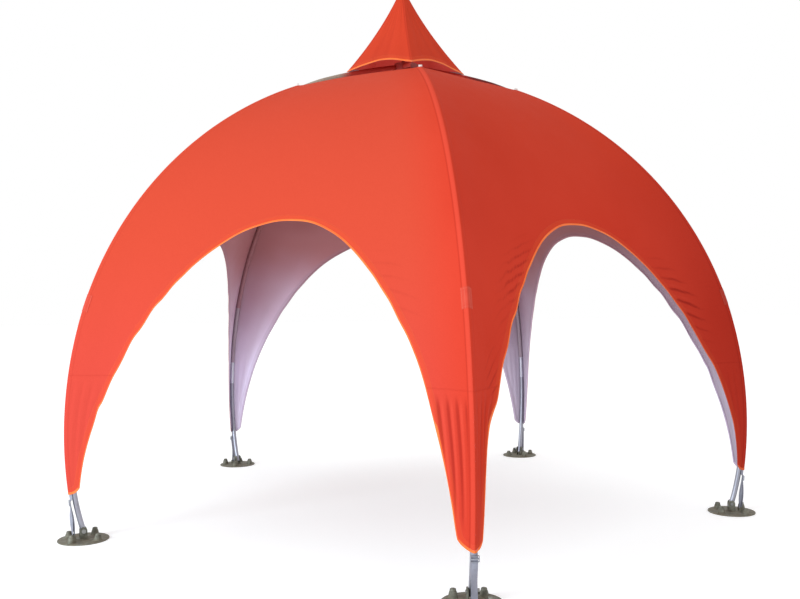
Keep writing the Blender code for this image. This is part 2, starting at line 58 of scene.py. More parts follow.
# %% Numbers of the tent
RIBS = 5
SECTOR = 2.0 * math.pi / RIBS
HALF = SECTOR / 2.0
FOOT_SPACING = 3.0
FOOT_RADIUS = FOOT_SPACING / (2.0 * math.sin(HALF))
FOOTPRINT_SHIFT = FOOT_RADIUS * (1.0 - math.cos(HALF)) / 2.0
START_RADIUS = 1.0219 * FOOT_RADIUS
START_HEIGHT = 0.0306 * FOOT_RADIUS
START_LEAN = math.radians(12.0)
RIB_ARCS = (
    (1.226 * FOOT_RADIUS, 0.576 * FOOT_RADIUS),
    (1.070 * FOOT_RADIUS, 0.990 * FOOT_RADIUS),
    (1.869 * FOOT_RADIUS, 0.3915 * FOOT_RADIUS),
)
RIB_LENGTH = sum(length for bend, length in RIB_ARCS)
print("foot radius", round(FOOT_RADIUS, 4), "rib length", round(RIB_LENGTH, 4))


# %% Points on the rib line
def rib(distance):
    """Radius, height and outward lean at each distance along the rib line."""
    distance = np.asarray(distance, float)
    below = np.minimum(distance, 0.0)
    radius = START_RADIUS + below * math.sin(START_LEAN)
    height = START_HEIGHT + below * math.cos(START_LEAN)
    lean = np.full(distance.shape, START_LEAN)
    left = np.maximum(distance, 0.0)
    for bend, length in RIB_ARCS:
        turned = lean - np.minimum(left, length) / bend
        radius = radius + bend * (np.cos(turned) - np.cos(lean))
        height = height + bend * (np.sin(lean) - np.sin(turned))
        lean = turned
        left = np.maximum(left - length, 0.0)
    return radius, height, lean


steps = np.linspace(-0.1, RIB_LENGTH, 9001)
step_radius, step_height = rib(steps)[:2]
past_shoulder = steps > 1.0


def distance_at_height(height):
    """Where along the rib the line reaches a height."""
    return np.interp(height, step_height, steps)


def distance_at_radius(radius):
    """Where along the rib, past the shoulder, the line comes in to a radius."""
    return np.interp(-np.asarray(radius), -step_radius[past_shoulder], steps[past_shoulder])


TIP_HEIGHT = 0.1287 * FOOT_RADIUS
ARCH_HEIGHT = 0.8877 * FOOT_RADIUS
TIP = float(distance_at_height(TIP_HEIGHT))
TOP = float(distance_at_radius(0.37 * FOOT_RADIUS))
print("cloth runs from", round(TIP, 3), "to", round(TOP, 3), "along the rib")

# %% [markdown]
# Three shapes of change come back all over the tent: a soft step, a plateau with soft sides, and a bell. They
# fade creases in and out, bend the poles in at the foot and round the cloth over the ribs.


# %% Soft steps
def ramp(value, start, end):
    """0 below start, 1 above end, and a soft step between them."""
    step = np.clip((value - start) / (end - start), 0.0, 1.0)
    return step * step * (3.0 - 2.0 * step)


def zone(value, start, full, fade, end):
    """1 between full and fade, with a soft step on each side."""
    return ramp(value, start, full) * (1.0 - ramp(value, fade, end))


def bell(value, middle, width):
    """1 in the middle, falling to 0 over the width on both sides."""
    return np.exp(-((value - middle) / width) ** 2)


print("halfway up a soft step:", ramp(0.5, 0.0, 1.0))

# %% [markdown]
# The poles lie inside the cloth. At the foot each pole comes in to the pin, and past the canopy's top edge
# it rises a little towards the crown.

# %% Points on the pole line
POLE_RADIUS = 0.019
POLE_DEPTH = 0.032
CROWN_POLE_DEPTH = 0.021
EASING = 0.25
PIN_HEIGHT = 0.065
near_foot = slice(0, 600)
pin_test = step_height + (step_radius - FOOT_RADIUS) * math.tan(START_LEAN)
PIN = float(np.interp(PIN_HEIGHT, pin_test[near_foot], steps[near_foot]))
FOOT_DEPTH = (float(rib(PIN)[0]) - FOOT_RADIUS) / math.cos(START_LEAN)


def pole_depth(distance):
    """How far the pole's middle lies inside the rib line."""
    foot_part = (FOOT_DEPTH - POLE_DEPTH) * np.exp(-(distance - PIN) / EASING)
    return POLE_DEPTH + foot_part - (POLE_DEPTH - CROWN_POLE_DEPTH) * ramp(distance, TOP, TOP + EASING)


def rib_frame(distance, depth):
    """Points inside the rib line on the rib along +X, with the direction that points out of the tent."""
    radius, height, lean = rib(distance)
    out = np.stack([np.cos(lean), np.zeros_like(lean), -np.sin(lean)], -1)
    line = np.stack([radius, np.zeros_like(radius), height], -1)
    return line - np.asarray(depth)[..., None] * out, out


def pole_point(distance):
    """The pole's middle at each distance, with the direction that points out of the tent."""
    return rib_frame(distance, pole_depth(distance))


print("pin at", np.round(pole_point(PIN)[0], 4))

# %% [markdown]
# ## The camera
# The photograph looks at the front leg a little from its left, from about eye height. A camera is fixed by
# where it stands, where it looks and how long its lens is. These numbers were fitted to the feet, the ribs
# and the arches, so the camera is set straight from them and needs no shift and no blur.

# %% Set the camera
CAMERA_DISTANCE = 7.429
CAMERA_HEIGHT = 1.633
CAMERA_LENS = 40.24
AROUND, YAW, PITCH, ROLL = (math.radians(angle) for angle in (-7.72, -0.373, 0.364, -0.628))

around = Matrix.Rotation(AROUND, 4, "Z")
upright = Matrix.Rotation(math.pi / 2.0 + PITCH, 4, "X")
turn = around @ Matrix.Rotation(-YAW, 4, "Z") @ upright @ Matrix.Rotation(ROLL, 4, "Z")
camera_data = bpy.data.cameras.new("camera")
camera_data.lens = CAMERA_LENS
camera_data.sensor_width = 36.0
camera_data.clip_end = 200.0
camera = bpy.data.objects.new("camera", camera_data)
bpy.context.scene.collection.objects.link(camera)
stand = around @ Vector((0.0, -CAMERA_DISTANCE, 0.0)) + Vector((0.0, FOOTPRINT_SHIFT, CAMERA_HEIGHT))
camera.matrix_world = Matrix.Translation(stand) @ turn
bpy.context.scene.camera = camera
print("camera at", tuple(round(value, 3) for value in stand))

# %% [markdown]
# ## Shader helpers
# A finish is a net of nodes. Laying each node by hand hides what it does, so two small classes help. `Wire`
# wraps a socket, and plus, minus and times on wires add the Math nodes. `Finish` holds one material. Its
# `node` method adds any other node from its type, its settings and what goes into its sockets, `coats` lays
# one colour over another where a mask says so, and `dress` feeds the shader in the end.


# %% Wires
class Wire:
    """A number that comes out of a node and can be used in sums."""

    def __init__(self, finish, socket):
        self.finish = finish
        self.socket = socket

    def sum(self, operation, *values):
        sockets = dict(enumerate((self,) + values))
        return self.finish.node("ShaderNodeMath", {"operation": operation}, sockets)

    def __add__(self, other):
        return self.sum("ADD", other)

    def __sub__(self, other):
        return self.sum("SUBTRACT", other)

    def __mul__(self, other):
        return self.sum("MULTIPLY", other)

    def __rsub__(self, other):
        return self.finish.node("ShaderNodeMath", {"operation": "SUBTRACT"}, {0: other, 1: self})

    def __neg__(self):
        return self * -1.0

    def __abs__(self):
        return self.sum("ABSOLUTE")

    def __pow__(self, exponent):
        return self.sum("POWER", exponent)

    __radd__ = __add__
    __rmul__ = __mul__

    def sine(self):
        return self.sum("SINE")

    def rise(self, start, end):
        """0 below start, 1 above end, and a soft step between them."""
        settings = {"interpolation_type": "SMOOTHSTEP"}
        sockets = {"Value": self, "From Min": start, "From Max": end}
        return self.finish.node("ShaderNodeMapRange", settings, sockets)


print("wires ready")


# %% Finishes
class Finish:
    """One material, built around a Principled shader. Colours are given as red, green and blue."""

    def __init__(self, name, colour, roughness, metallic=0.0, specular=0.5):
        self.material = bpy.data.materials.new(name)
        self.material.use_nodes = True
        self.material.diffuse_color = (*colour, 1.0)
        self.tree = self.material.node_tree
        self.shader = self.tree.nodes["Principled BSDF"]
        self.feed("Base Color", colour)
        self.feed("Roughness", roughness)
        self.feed("Metallic", metallic)
        self.feed("Specular IOR Level", specular)

    def feed(self, name, value, node=None):
        socket = (node or self.shader).inputs[name]
        if isinstance(value, Wire):
            self.tree.links.new(value.socket, socket)
        elif socket.type == "RGBA":
            socket.default_value = (*value, 1.0)
        else:
            socket.default_value = value

    def node(self, kind, settings=None, sockets=None, output=0):
        made = self.tree.nodes.new(kind)
        for key, value in (settings or {}).items():
            setattr(made, key, value)
        for key, value in (sockets or {}).items():
            self.feed(key, value, made)
        return Wire(self, made.outputs[output])

    def place(self):
        """The point on the object, in metres."""
        return self.node("ShaderNodeTexCoord", output="Object")

    def across(self, vector, output):
        return self.node("ShaderNodeSeparateXYZ", None, {0: vector}, output)

    def at(self, axis):
        """One coordinate of the point on the object: 0 is sideways, 1 is back and 2 is up."""
        return self.across(self.place(), axis)

    def cloth_map(self, name):
        """Both numbers of a UV map, such as the metres along and across the cloth."""
        flat = self.node("ShaderNodeUVMap", {"uv_map": name})
        return self.across(flat, 0), self.across(flat, 1)

    def noise(self, scale, detail=2.0, roughness=0.5, vector=None):
        sockets = {"Vector": vector or self.place(), "Scale": scale, "Detail": detail, "Roughness": roughness}
        return self.node("ShaderNodeTexNoise", None, sockets)

    def mix(self, mask, first, second, blend="MIX"):
        sockets = {0: mask, 6: first, 7: second}
        return self.node("ShaderNodeMix", {"data_type": "RGBA", "blend_type": blend}, sockets, 2)

    def coats(self, tone, *coats):
        """Lay coats of (mask, colour) over a tone, one after the other."""
        for mask, colour in coats:
            tone = self.mix(mask, tone, colour)
        return tone

    def painted_side_shade(self, tone, start, end, shade_tint):
        """Painted shade: multiply a tone by a darker tint, more and more from start to end on the tent's +X
        side, away from the lamp.
        """
        return self.mix(self.at(0).rise(start, end), tone, shade_tint, "MULTIPLY")

    def dress(self, tone, roughness, *layers):
        """Feed the colour, the roughness and a stack of height layers of (height, depth in metres)."""
        self.feed("Base Color", tone)
        self.feed("Roughness", roughness)
        normal = None
        for height, depth in layers:
            sockets = {"Height": height, "Distance": depth, "Strength": 1.0}
            if normal is not None:
                sockets["Normal"] = normal
            normal = self.node("ShaderNodeBump", None, sockets)
        self.feed("Normal", normal)


print("finishes ready")

# %% [markdown]
# ## Floor and light
# The photograph has a white studio look: light from everywhere, and a stronger soft light low on the
# camera's left that makes the left panel glow while the right one stays a deeper red. A bright even
# surround and one large area lamp do the same. The floor is only a stage, so that the tent stands on
# something.

# %% Stage and lamps
floor_finish = Finish("floor_paint", (0.86, 0.87, 0.87), 0.9, specular=0.1)
floor_tone = floor_finish.coats(
    (0.85, 0.86, 0.86),
    (floor_finish.noise(0.35, 3.0).rise(0.3, 0.7), (0.87, 0.88, 0.88)),
)
floor_finish.feed("Base Color", floor_tone)
floor_finish.feed("Emission Color", (1.0, 1.0, 1.0))
floor_finish.feed("Emission Strength", 0.25)
bpy.ops.mesh.primitive_plane_add(size=160.0, location=(0.0, 0.0, 0.0))
floor = bpy.context.object
floor.name = "floor"
floor.data.materials.append(floor_finish.material)

world = bpy.data.worlds.new("studio")
bpy.context.scene.world = world
world.use_nodes = True
surround = world.node_tree.nodes["Background"]
surround.inputs["Color"].default_value = (1.0, 1.0, 1.0, 1.0)
surround.inputs["Strength"].default_value = 1.0

lamp_data = bpy.data.lights.new("key_lamp", "AREA")
lamp_data.shape = "DISK"
lamp_data.size = 5.0
lamp_data.energy = 970.0
lamp_data.color = (0.88, 1.05, 1.14)
key_lamp = bpy.data.objects.new("key_lamp", lamp_data)
bpy.context.scene.collection.objects.link(key_lamp)
key_lamp.location = (-10.6, -7.6, 3.6)
lamp_aim = Vector((0.0, 0.0, 1.8)) - key_lamp.location
key_lamp.rotation_euler = lamp_aim.to_track_quat("-Z", "Y").to_euler()
bpy.context.scene.view_settings.view_transform = "Standard"
print("lit by the surround and", key_lamp.name)

# %% [markdown]
# ## Grids that become cloth and tubes
# Cloth, tape and bars are all grids: rows one way, columns the other. Blender's grid primitive gives the
# faces, and each of its points is then sent to its place, worked out for the whole grid at once. A tape or
# a bar is a grid whose first and last columns meet, so its doubles are merged. Every open sheet is checked
# for which way its faces point, because a grid can turn inside out when it is bent, and then Solidify gives
# it its thickness.


# %% Selection and edit mode
def only(piece):
    """Select one piece alone and make it the active one."""
    bpy.ops.object.select_all(action="DESELECT")
    bpy.context.view_layer.objects.active = piece
    piece.select_set(True)


def add(primitive, **settings):
    """Deselect everything, add a primitive and return it."""
    bpy.ops.object.select_all(action="DESELECT")
    primitive(**settings)
    return bpy.context.object


@contextmanager
def edit_mode(selection=None):
    """Go to edit mode, select or deselect everything if asked to, and come back."""
    bpy.ops.object.mode_set(mode="EDIT")
    if selection:
        bpy.ops.mesh.select_all(action=selection)
    yield
    bpy.ops.object.mode_set(mode="OBJECT")


def numbers_of(items, name):
    """One property of all points or faces, as an array of rows of three."""
    values = np.empty(len(items) * 3)
    items.foreach_get(name, values)
    return values.reshape(-1, 3)


def lengths(line):
    """The length along a line of points at each of them, from 0 at the first."""
    return np.concatenate([[0.0], np.cumsum(np.linalg.norm(np.diff(line, axis=0), axis=1))])


def strip_map(across, along):
    """A UV map with one number across a strip and one along it."""
    return np.stack(np.broadcast_arrays(across[None, :], along[:, None]), -1)


print("selection helpers ready")


# %% Grid helpers
def lofted(name, points, maps, merge=0.0):
    """A mesh from an array of rows x columns x 3 points, with UV maps given as rows x columns x 2 arrays."""
    rows, columns = points.shape[0] - 1, points.shape[1] - 1
    piece = add(bpy.ops.mesh.primitive_grid_add, x_subdivisions=columns, y_subdivisions=rows, size=2.0)
    piece.name = name
    mesh = piece.data
    mesh.name = name
    flat = numbers_of(mesh.vertices, "co")
    column = np.rint((flat[:, 0] + 1.0) / 2.0 * columns).astype(int)
    row = np.rint((flat[:, 1] + 1.0) / 2.0 * rows).astype(int)
    mesh.vertices.foreach_set("co", points[row, column].ravel())
    corner = np.empty(len(mesh.loops), int)
    mesh.loops.foreach_get("vertex_index", corner)
    mesh.uv_layers[0].name = "surface"
    for map_name, values in maps.items():
        layer = mesh.uv_layers.new(name=map_name)
        layer.uv.foreach_set("vector", values[row[corner], column[corner]].ravel())
    if merge:
        with edit_mode("SELECT"):
            bpy.ops.mesh.remove_doubles(threshold=merge)
    mesh.update()
    return piece


def faces_along(piece, direction_at):
    """Turn an open sheet over if its faces point against the wanted directions."""
    faces = piece.data.polygons
    agree = np.sum(numbers_of(faces, "normal") * direction_at(numbers_of(faces, "center")))
    if agree < 0.0:
        with edit_mode("SELECT"):
            bpy.ops.mesh.flip_normals()


def apply_modifier(piece, kind, **settings):
    only(piece)
    modifier = piece.modifiers.new(kind.lower(), kind)
    for key, value in settings.items():
        setattr(modifier, key, value)
    bpy.ops.object.modifier_apply(modifier=modifier.name)


def smooth(piece, degrees):
    only(piece)
    bpy.ops.object.shade_smooth_by_angle(angle=math.radians(degrees))


def cover(piece, finish, degrees):
    """Give a piece its finish, and shade it smooth up to an angle."""
    piece.data.materials.append(finish.material)
    smooth(piece, degrees)


def thicken(piece, direction_at, finishes, thickness, offset=-1.0, degrees=60.0):
    """Turn a sheet the right way out, and give it its thickness and the finish of its outside and inside."""
    faces_along(piece, direction_at)
    for finish in finishes:
        piece.data.materials.append(finish.material)
    inside = len(finishes) - 1
    apply_modifier(piece, "SOLIDIFY", thickness=thickness, offset=offset, material_offset=inside,
                   material_offset_rim=inside)
    smooth(piece, degrees)


def join(parts, name):
    """Make one piece of several."""
    only(parts[0])
    for part in parts:
        part.select_set(True)
    bpy.ops.object.join()
    piece = bpy.context.object
    piece.name = name
    return piece


def triangles(piece):
    return sum(len(face.vertices) - 2 for face in piece.data.polygons)


print("grid helpers ready")


# %% Places on the tent
def onto_rib(index, between=False):
    """The move from the rib that stands along +X to rib number index, or to the panel after it."""
    angle = -math.pi / 2.0 + (index - 1) * SECTOR + (HALF if between else 0.0)
    return Matrix.Translation((0.0, FOOTPRINT_SHIFT, 0.0)) @ Matrix.Rotation(angle, 4, "Z")


def settle(piece, nodes=()):
    """Let a piece ride on the frame, and hide the solids that it stands for."""
    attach(piece, "root")
    if nodes:
        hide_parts(*nodes)


def round_the_tent(piece, nodes=()):
    """One copy on each rib, each with its own mesh, riding on the frame. The last is the piece itself."""
    base = piece.name
    made = []
    for index in range(1, RIBS + 1):
        copy = piece if index == RIBS else bpy.data.objects.new(base, piece.data.copy())
        if index < RIBS:
            bpy.context.scene.collection.objects.link(copy)
        copy.name = "%s_%d" % (base, index)
        copy.data.name = copy.name
        copy.data.transform(onto_rib(index))
        made.append(copy)
        settle(copy, ["%s_%d" % (node, index) for node in nodes])
    print(base, "x", RIBS, "with", triangles(piece), "triangles each")
    return made


print("rib 1 faces", np.round(onto_rib(1).to_3x3() @ Vector((1.0, 0.0, 0.0)), 3))

# %% [markdown]
# ## The canopy's shape
# Each panel hangs between two ribs and sags between them like any stretched cloth. The pole presses the
# cloth out along the seam, which shows as a narrow band beside it. Near the arches the cloth is pulled into
# short slanting creases, and low down on the tongues it gathers in upright pleats. The panel is worked out
# in three steps: the plain stretched sheet, how far each point is from the arch's edge, and the relief on
# top of it. Cloth simulation was left out, because stretched cloth hardly moves and the creases are easier
# to place.

# %% The stretched sheet
RIDGE_ROUNDING = 0.014
NOSE_DEPTH = 0.010
NOSE_WIDTH = 0.028
SAG_AT_ARCH = 0.0649
SAG_AT_TOP = 0.012
TUCK_DEPTH = 0.0368
TUCK_WIDTH = 0.199
ARCH_HANDLES = np.array(((0.06, 0.024), (0.2085, 0.615), (0.508, 1.0), (1.0, 1.0)))
TIP_SHARE = ARCH_HANDLES[0, 0] / 2.0
TIP_POWER = 2.6

along = np.linspace(0.0, 1.0, 4001)[:, None]
arch_curve = (
    ARCH_HANDLES[0] * (1.0 - along) ** 3
    + 3.0 * ARCH_HANDLES[1] * (1.0 - along) ** 2 * along
    + 3.0 * ARCH_HANDLES[2] * (1.0 - along) * along ** 2
    + ARCH_HANDLES[3] * along ** 3
)


def arch_distance(share):
    """Where the arch's edge lies along the rib line, for shares of the panel's width from 0 to 1."""
    half_share = 2.0 * np.minimum(share, 1.0 - share)
    corner, corner_rise = ARCH_HANDLES[0]
    low = corner_rise * (half_share / corner) ** TIP_POWER
    high = np.interp(half_share, arch_curve[:, 0], arch_curve[:, 1])
    rise = np.where(half_share <= corner, low, high)
    return distance_at_height(TIP_HEIGHT + (ARCH_HEIGHT - TIP_HEIGHT) * rise)


def chord_at(distance):
    """The straight width from rib to rib."""
    return 2.0 * rib(distance)[0] * math.sin(HALF)


def beside_rib(share, distance):
    """The distance to the nearer rib, across the panel."""
    return np.minimum(share, 1.0 - share) * chord_at(distance)


def climb(distance):
    """0 at a tongue's tip and 1 at the canopy's top edge."""
    return np.maximum((distance - TIP) / (TOP - TIP), 0.0)


def sag_share(distance):
    """The sag in the middle of a panel as a share of its width."""
    return SAG_AT_ARCH + (SAG_AT_TOP - SAG_AT_ARCH) * climb(distance) ** 2


def tuck(beside, share, distance):
    """How far the free edge of the cloth pulls inwards beside a rib."""
    grown = 1.0 - bell(beside, 0.0, TUCK_WIDTH)
    return TUCK_DEPTH * grown * np.cos(math.pi * share) ** 2 * (1.0 - climb(distance) ** 2)


def stretched(share, distance):
    """Points of the plain sheet between the ribs at -36 and +36 degrees."""
    radius, height, lean = rib(distance)
    chord = chord_at(distance)
    sag = chord * sag_share(distance)
    slope = math.tan(HALF) * np.cos(lean) + 4.0 * sag_share(distance)
    point = np.zeros(share.shape + (3,))
    for side, weight in ((-1.0, 1.0 - share), (1.0, share)):
        turned_x, turned_y = math.cos(HALF), side * math.sin(HALF)
        foot = np.stack([radius * turned_x, radius * turned_y, height], -1)
        out = np.stack([np.cos(lean) * turned_x, np.cos(lean) * turned_y, -np.sin(lean)], -1)
        across = (1.0 - weight) * chord * math.cos(HALF)
        rounding = np.sqrt((slope * across) ** 2 + RIDGE_ROUNDING ** 2) - slope * across
        nose = NOSE_DEPTH * bell(across, 0.0, NOSE_WIDTH)
        point += weight[..., None] * (foot + (RIDGE_ROUNDING - NOSE_DEPTH) * out)
        point += (nose - rounding)[..., None] * out
    middle_out = np.stack([np.cos(lean), np.zeros_like(lean), -np.sin(lean)], -1)
    inwards = 4.0 * sag * share * (1.0 - share) + tuck(beside_rib(share, distance), share, distance)
    return point - inwards[..., None] * middle_out


print("arch apex at", np.round(stretched(np.array([0.5]), arch_distance(np.array([0.5])))[0], 3))

# %% [markdown]
# The grid of a panel has its columns close together beside the ribs, where the pleats and creases are, and
# its rows close together above the arch's edge.

# %% Lay out the panel grid
HALF_COLUMNS = 96
ROWS = 118
COLUMN_SPREAD = 10.0
ROW_SPREAD = 1.45

even_columns = np.arange(HALF_COLUMNS + 1) / HALF_COLUMNS
half_shares = 0.5 * (COLUMN_SPREAD ** even_columns - 1.0) / (COLUMN_SPREAD - 1.0)
half_shares[np.argmin(np.abs(half_shares - TIP_SHARE))] = TIP_SHARE
shares = np.concatenate([half_shares, 1.0 - half_shares[-2::-1]])
side_share = np.minimum(shares, 1.0 - shares)
first_half = shares < 0.5
row_steps = (np.arange(ROWS + 1) / ROWS) ** ROW_SPREAD
print("panel grid", ROWS, "x", 2 * HALF_COLUMNS)

# %% [markdown]
# No two arches of the tent hang quite alike. Each panel has its own small numbers: how much its arch is
# wider at its first rib, raised in its middle and wider at its last rib, how much narrower and longer its
# tongues are, and where a small kink shows in its edge. A slow wander and shallow scallops come on top.

# %% Each panel's own arch
OPENING = (
    (-0.003, -0.028, 0.000),
    (0.000, 0.050, 0.009),
    (0.004, 0.095, 0.004),
    (0.000, 0.020, 0.000),
    (-0.006, 0.008, 0.000),
)
NARROWER_TONGUE = ((0.020, 0.010), (0.0, 0.0), (0.0, 0.0), (0.0, 0.0), (0.0, -0.010))
LONGER_TIP = (0.030, 0.0, 0.0, 0.0, 0.0)
KINK_PLACE = (0.087, 0.091, 0.083, 0.087, 0.078)
KINK_HEIGHT = (0.004, 0.030, 0.030, 0.030, 0.030)
KINK_WIDTH = 0.0065
SCALLOP_HEIGHT = 0.014
TOP_RISE = 0.084


def opening_edge(number):
    """A panel's own arch, as distances along the rib line."""
    first, lift, last = OPENING[number - 1]
    wider = np.where(first_half, first, last) * zone(side_share, 0.03, 0.10, 0.30, 0.48)
    tongue = np.where(
        first_half,
        zone(side_share, 0.024, 0.050, 0.052, 0.102),
        zone(side_share, 0.012, 0.045, 0.085, 0.130),
    )
    wider = wider + np.where(first_half, *NARROWER_TONGUE[number - 1]) * tongue
    plain = arch_distance(shares + np.where(first_half, wider, -wider))
    tips = np.where(first_half, LONGER_TIP[number - 1], LONGER_TIP[number % RIBS])
    return plain + lift * ramp(side_share, 0.05, 0.28) - tips * (1.0 - ramp(side_share, 0.028, 0.075))


def edge_wander(number):
    """How far a panel's arch edge strays up and down: a slow wander, shallow scallops and a small kink."""
    free = 1.0 - bell(np.maximum(side_share, TIP_SHARE), TIP_SHARE, 0.05)
    slow = 0.005 * np.sin(17.0 * shares + 1.9 * number) + 0.0015 * np.sin(61.0 * shares + 0.7 * number)
    scallop_zone = bell(shares, 0.15, 0.07) + 0.35 * bell(1.0 - shares, 0.16, 0.06)
    scallops = SCALLOP_HEIGHT * np.sin(150.0 * shares + 2.3 * number) * scallop_zone
    kink = KINK_HEIGHT[number - 1] * bell(shares, KINK_PLACE[number - 1], KINK_WIDTH)
    return free * (slow + scallops) + kink


def panel_lattice(number):
    """The shares and distances of every grid point of a panel."""
    low = opening_edge(number) + edge_wander(number)
    high = TOP + TOP_RISE * np.sin(math.pi * shares)
    distance = low + (high - low) * row_steps[:, None]
    return np.broadcast_to(shares, distance.shape), distance


print("arch lifts", [row[1] for row in OPENING])

# %% [markdown]
# Creases and pleats follow the arch's edge, so each grid point needs its distance to that edge and how far
# along the edge it lies. Nearest edge points jump from one to the next, which would make creases jagged, so
# both numbers are smoothed a little.


# %% Distances to the arch's edge
def grid_normals(points, outward):
    """Unit normals of a grid, on the side of the outward directions."""
    normal = np.cross(np.gradient(points, axis=1), np.gradient(points, axis=0))
    normal /= np.linalg.norm(normal, axis=-1, keepdims=True) + 1e-12
    return normal * np.sign(np.sum(normal * outward, -1, keepdims=True))


def edge_map(points):
    """For each grid point: how far along the edge from the nearer tip it lies, and how far from the edge."""
    line = points[0]
    length = lengths(line)
    from_tip = np.minimum(length, length[-1] - length)
    result = np.zeros(points.shape[:2] + (2,))
    for row in range(points.shape[0]):
        gap = np.linalg.norm(points[row][:, None, :] - line[None, :, :], axis=-1)
        nearest = np.argmin(gap, axis=1)
        result[row, :, 0] = from_tip[nearest]
        result[row, :, 1] = gap[np.arange(len(nearest)), nearest]
    return result


def soften(values, times):
    """Average every grid point with its neighbours, a few times over."""
    for _ in range(times):
        values = values.copy()
        values[1:-1] = 0.25 * values[:-2] + 0.5 * values[1:-1] + 0.25 * values[2:]
        values[:, 1:-1] = 0.25 * values[:, :-2] + 0.5 * values[:, 1:-1] + 0.25 * values[:, 2:]
    return values


print("edge helpers ready")

# %% [markdown]
# The relief is a sum of plain waves, each faded out where the photograph is smooth. The pairs of numbers
# give the strength of creases and pleats beside a panel's first rib and beside its last.

# %% Relief of the cloth
CREASE_STRENGTH = ((1.0, 0.85), (0.5, 0.5), (0.4, 0.4), (0.4, 0.3), (0.12, 0.32))
PLEAT_STRENGTH = ((0.55, 0.25), (0.30, 0.35), (0.35, 0.30), (0.30, 0.25), (0.20, 1.0))
LAST_SWELL = (-1.9, 1.0, 3.0, 5.0, 3.4)
CREASE_SPACING = 0.120
CREASE_DEPTH = 0.0036
PLEAT_DEPTH = 0.0066
FOLD_DEPTH = 0.007
HEM_DEPTH = 0.0045


def crease_waves(number, share, along_edge, from_edge):
    """Slanting creases that fan out from the arch's edge, from -1 to 1."""
    first_side = share < 0.5
    side = np.where(first_side, 1.0, -1.0)
    drift = 0.5 * np.sin(3.1 * along_edge + number) + 0.35 * np.sin(7.3 * along_edge + side)
    slant = np.where(first_side, 2.1, 1.2)
    turn = 2.0 * math.pi * (along_edge + slant * from_edge) / CREASE_SPACING + 1.6 * drift
    crease = 0.75 * np.sin(turn) + 0.35 * np.sin(2.0 * turn + 0.8 + drift)
    phase = np.where(first_side, 2.0 * number + 1.0, LAST_SWELL[number - 1])
    swell = 0.65 + 0.35 * np.sin(6.5 * along_edge + phase)
    pull = np.where(first_side, *CREASE_STRENGTH[number - 1])
    shown = zone(from_edge, 0.01, 0.05, 0.10, 0.30) * zone(along_edge, 0.75, 1.05, 1.9, 2.4)
    return crease * swell * shown * pull


def pleat_waves(number, share, height, beside, from_edge):
    """Upright pleats that gather the tongues, from -1 to 1."""
    shown = zone(height, 0.36, 0.50, 1.04, 1.17) * np.where(share < 0.5, *PLEAT_STRENGTH[number - 1])
    inward_share = beside / (beside + from_edge + 0.001)
    count = 2.6 + 2.6 * (height - 0.33)
    pleat = np.sin(2.0 * math.pi * inward_share * count + 0.7 * np.sin(4.0 * height + number))
    return (0.6 + 0.4 * ramp(height, 0.45, 0.8)) * pleat * shown * ramp(from_edge, 0.0, 0.03)


def relief(number, share, distance, height, edges):
    """How far each point stands out from the plain sheet, and its pleat and crease from -1 to 1."""
    along_edge, from_edge = edges[..., 0], edges[..., 1]
    beside = beside_rib(share, distance)
    broad = np.sin(2.6 * share * chord_at(distance) + 1.3 * distance + number)
    broad = broad * np.sin(1.9 * distance + 2.0 * number)
    folds = FOLD_DEPTH * broad * ramp(height, 0.9, 1.6) * ramp(beside, 0.06, 0.4)
    hem = HEM_DEPTH * np.exp(-from_edge / 0.03)
    clear = ramp(beside, 0.030, 0.060)
    pleats = pleat_waves(number, share, height, beside, from_edge)
    creases = crease_waves(number, share, along_edge, from_edge)
    raised = clear * (CREASE_DEPTH * creases + PLEAT_DEPTH * pleats + hem) + folds
    return raised, np.stack([clear * pleats, clear * creases], -1)


print("creases every", CREASE_SPACING, "m")

# %% [markdown]
# The panel's points and its maps are worked out once for each of the five panels. The slow folds differ
# from panel to panel, as they do on a real tent, while the seams stay exactly on the ribs.


# %% Work out the five panels
def panel_surface(number):
    """The points of a panel and its four maps."""
    share, distance = panel_lattice(number)
    plain = stretched(share, distance)
    normal = grid_normals(plain, np.array([1.0, 0.0, 0.35]))
    edges = soften(edge_map(plain), 4)
    raised, folds = relief(number, share, distance, plain[..., 2], edges)
    points = plain + soften(raised, 1)[..., None] * normal
    cloth = np.stack([share * chord_at(distance), distance], -1)
    seam = np.stack([beside_rib(share, distance), distance], -1)
    return points, {"cloth": cloth, "edge": edges, "seam": seam, "folds": folds}


def sheet_area(points):
    """The area of a grid, as two triangles in each of its cells."""
    corner, ends = points[:-1, :-1], (points[1:, :-1], points[1:, 1:], points[:-1, 1:])
    down, slanted, right = (end - corner for end in ends)
    halves = np.cross(down, slanted), np.cross(slanted, right)
    return 0.5 * sum(np.linalg.norm(half, axis=-1).sum() for half in halves)


panel_data = [panel_surface(number) for number in range(1, RIBS + 1)]
panel_areas = [sheet_area(points) for points, maps in panel_data]
print("panel areas", np.round(panel_areas, 2))

# %% [markdown]
# ## Cloth finishes
# The outside is a coated red cloth: matt, with a fine weave, a turned hem of double cloth along the arches
# that carries a painted highlight, and two lines of stitching that hold the tape. The inside is the same
# cloth with a pale lilac coating. Its colour changes with height as painted light: high up a painted red glow
# and shade where the red shines through, lower down painted light from the ground, palest near the arch's
# edge.
# Both read the maps in metres, so weave and stitches have their real size.
#
# Folds get painted shade in their valleys and a painted highlight on their crests, so the outside also reads
# the map of its own folds. Beside each seam a stitched groove marks where the pole's pocket ends; it carries
# painted shade, and the cloth over the pocket carries a painted highlight. The side of the tent towards the
# lamp is painted paler and pinker as lamp light, and the far side darker as painted shade, so the last steps
# read the place on the tent. They belong to the tent and turn with it.


# %% Helpers for woven cloth
THREAD_PITCH = 0.0016
WEAVE_DEPTH = 0.0001


def weave(u, v):
    """The height layer of threads that pass over and under each other, from two crossed waves."""
    turn_rate = math.pi / THREAD_PITCH
    return ((u * turn_rate).sine() * (v * turn_rate).sine() + 1.0) * 0.5, WEAVE_DEPTH


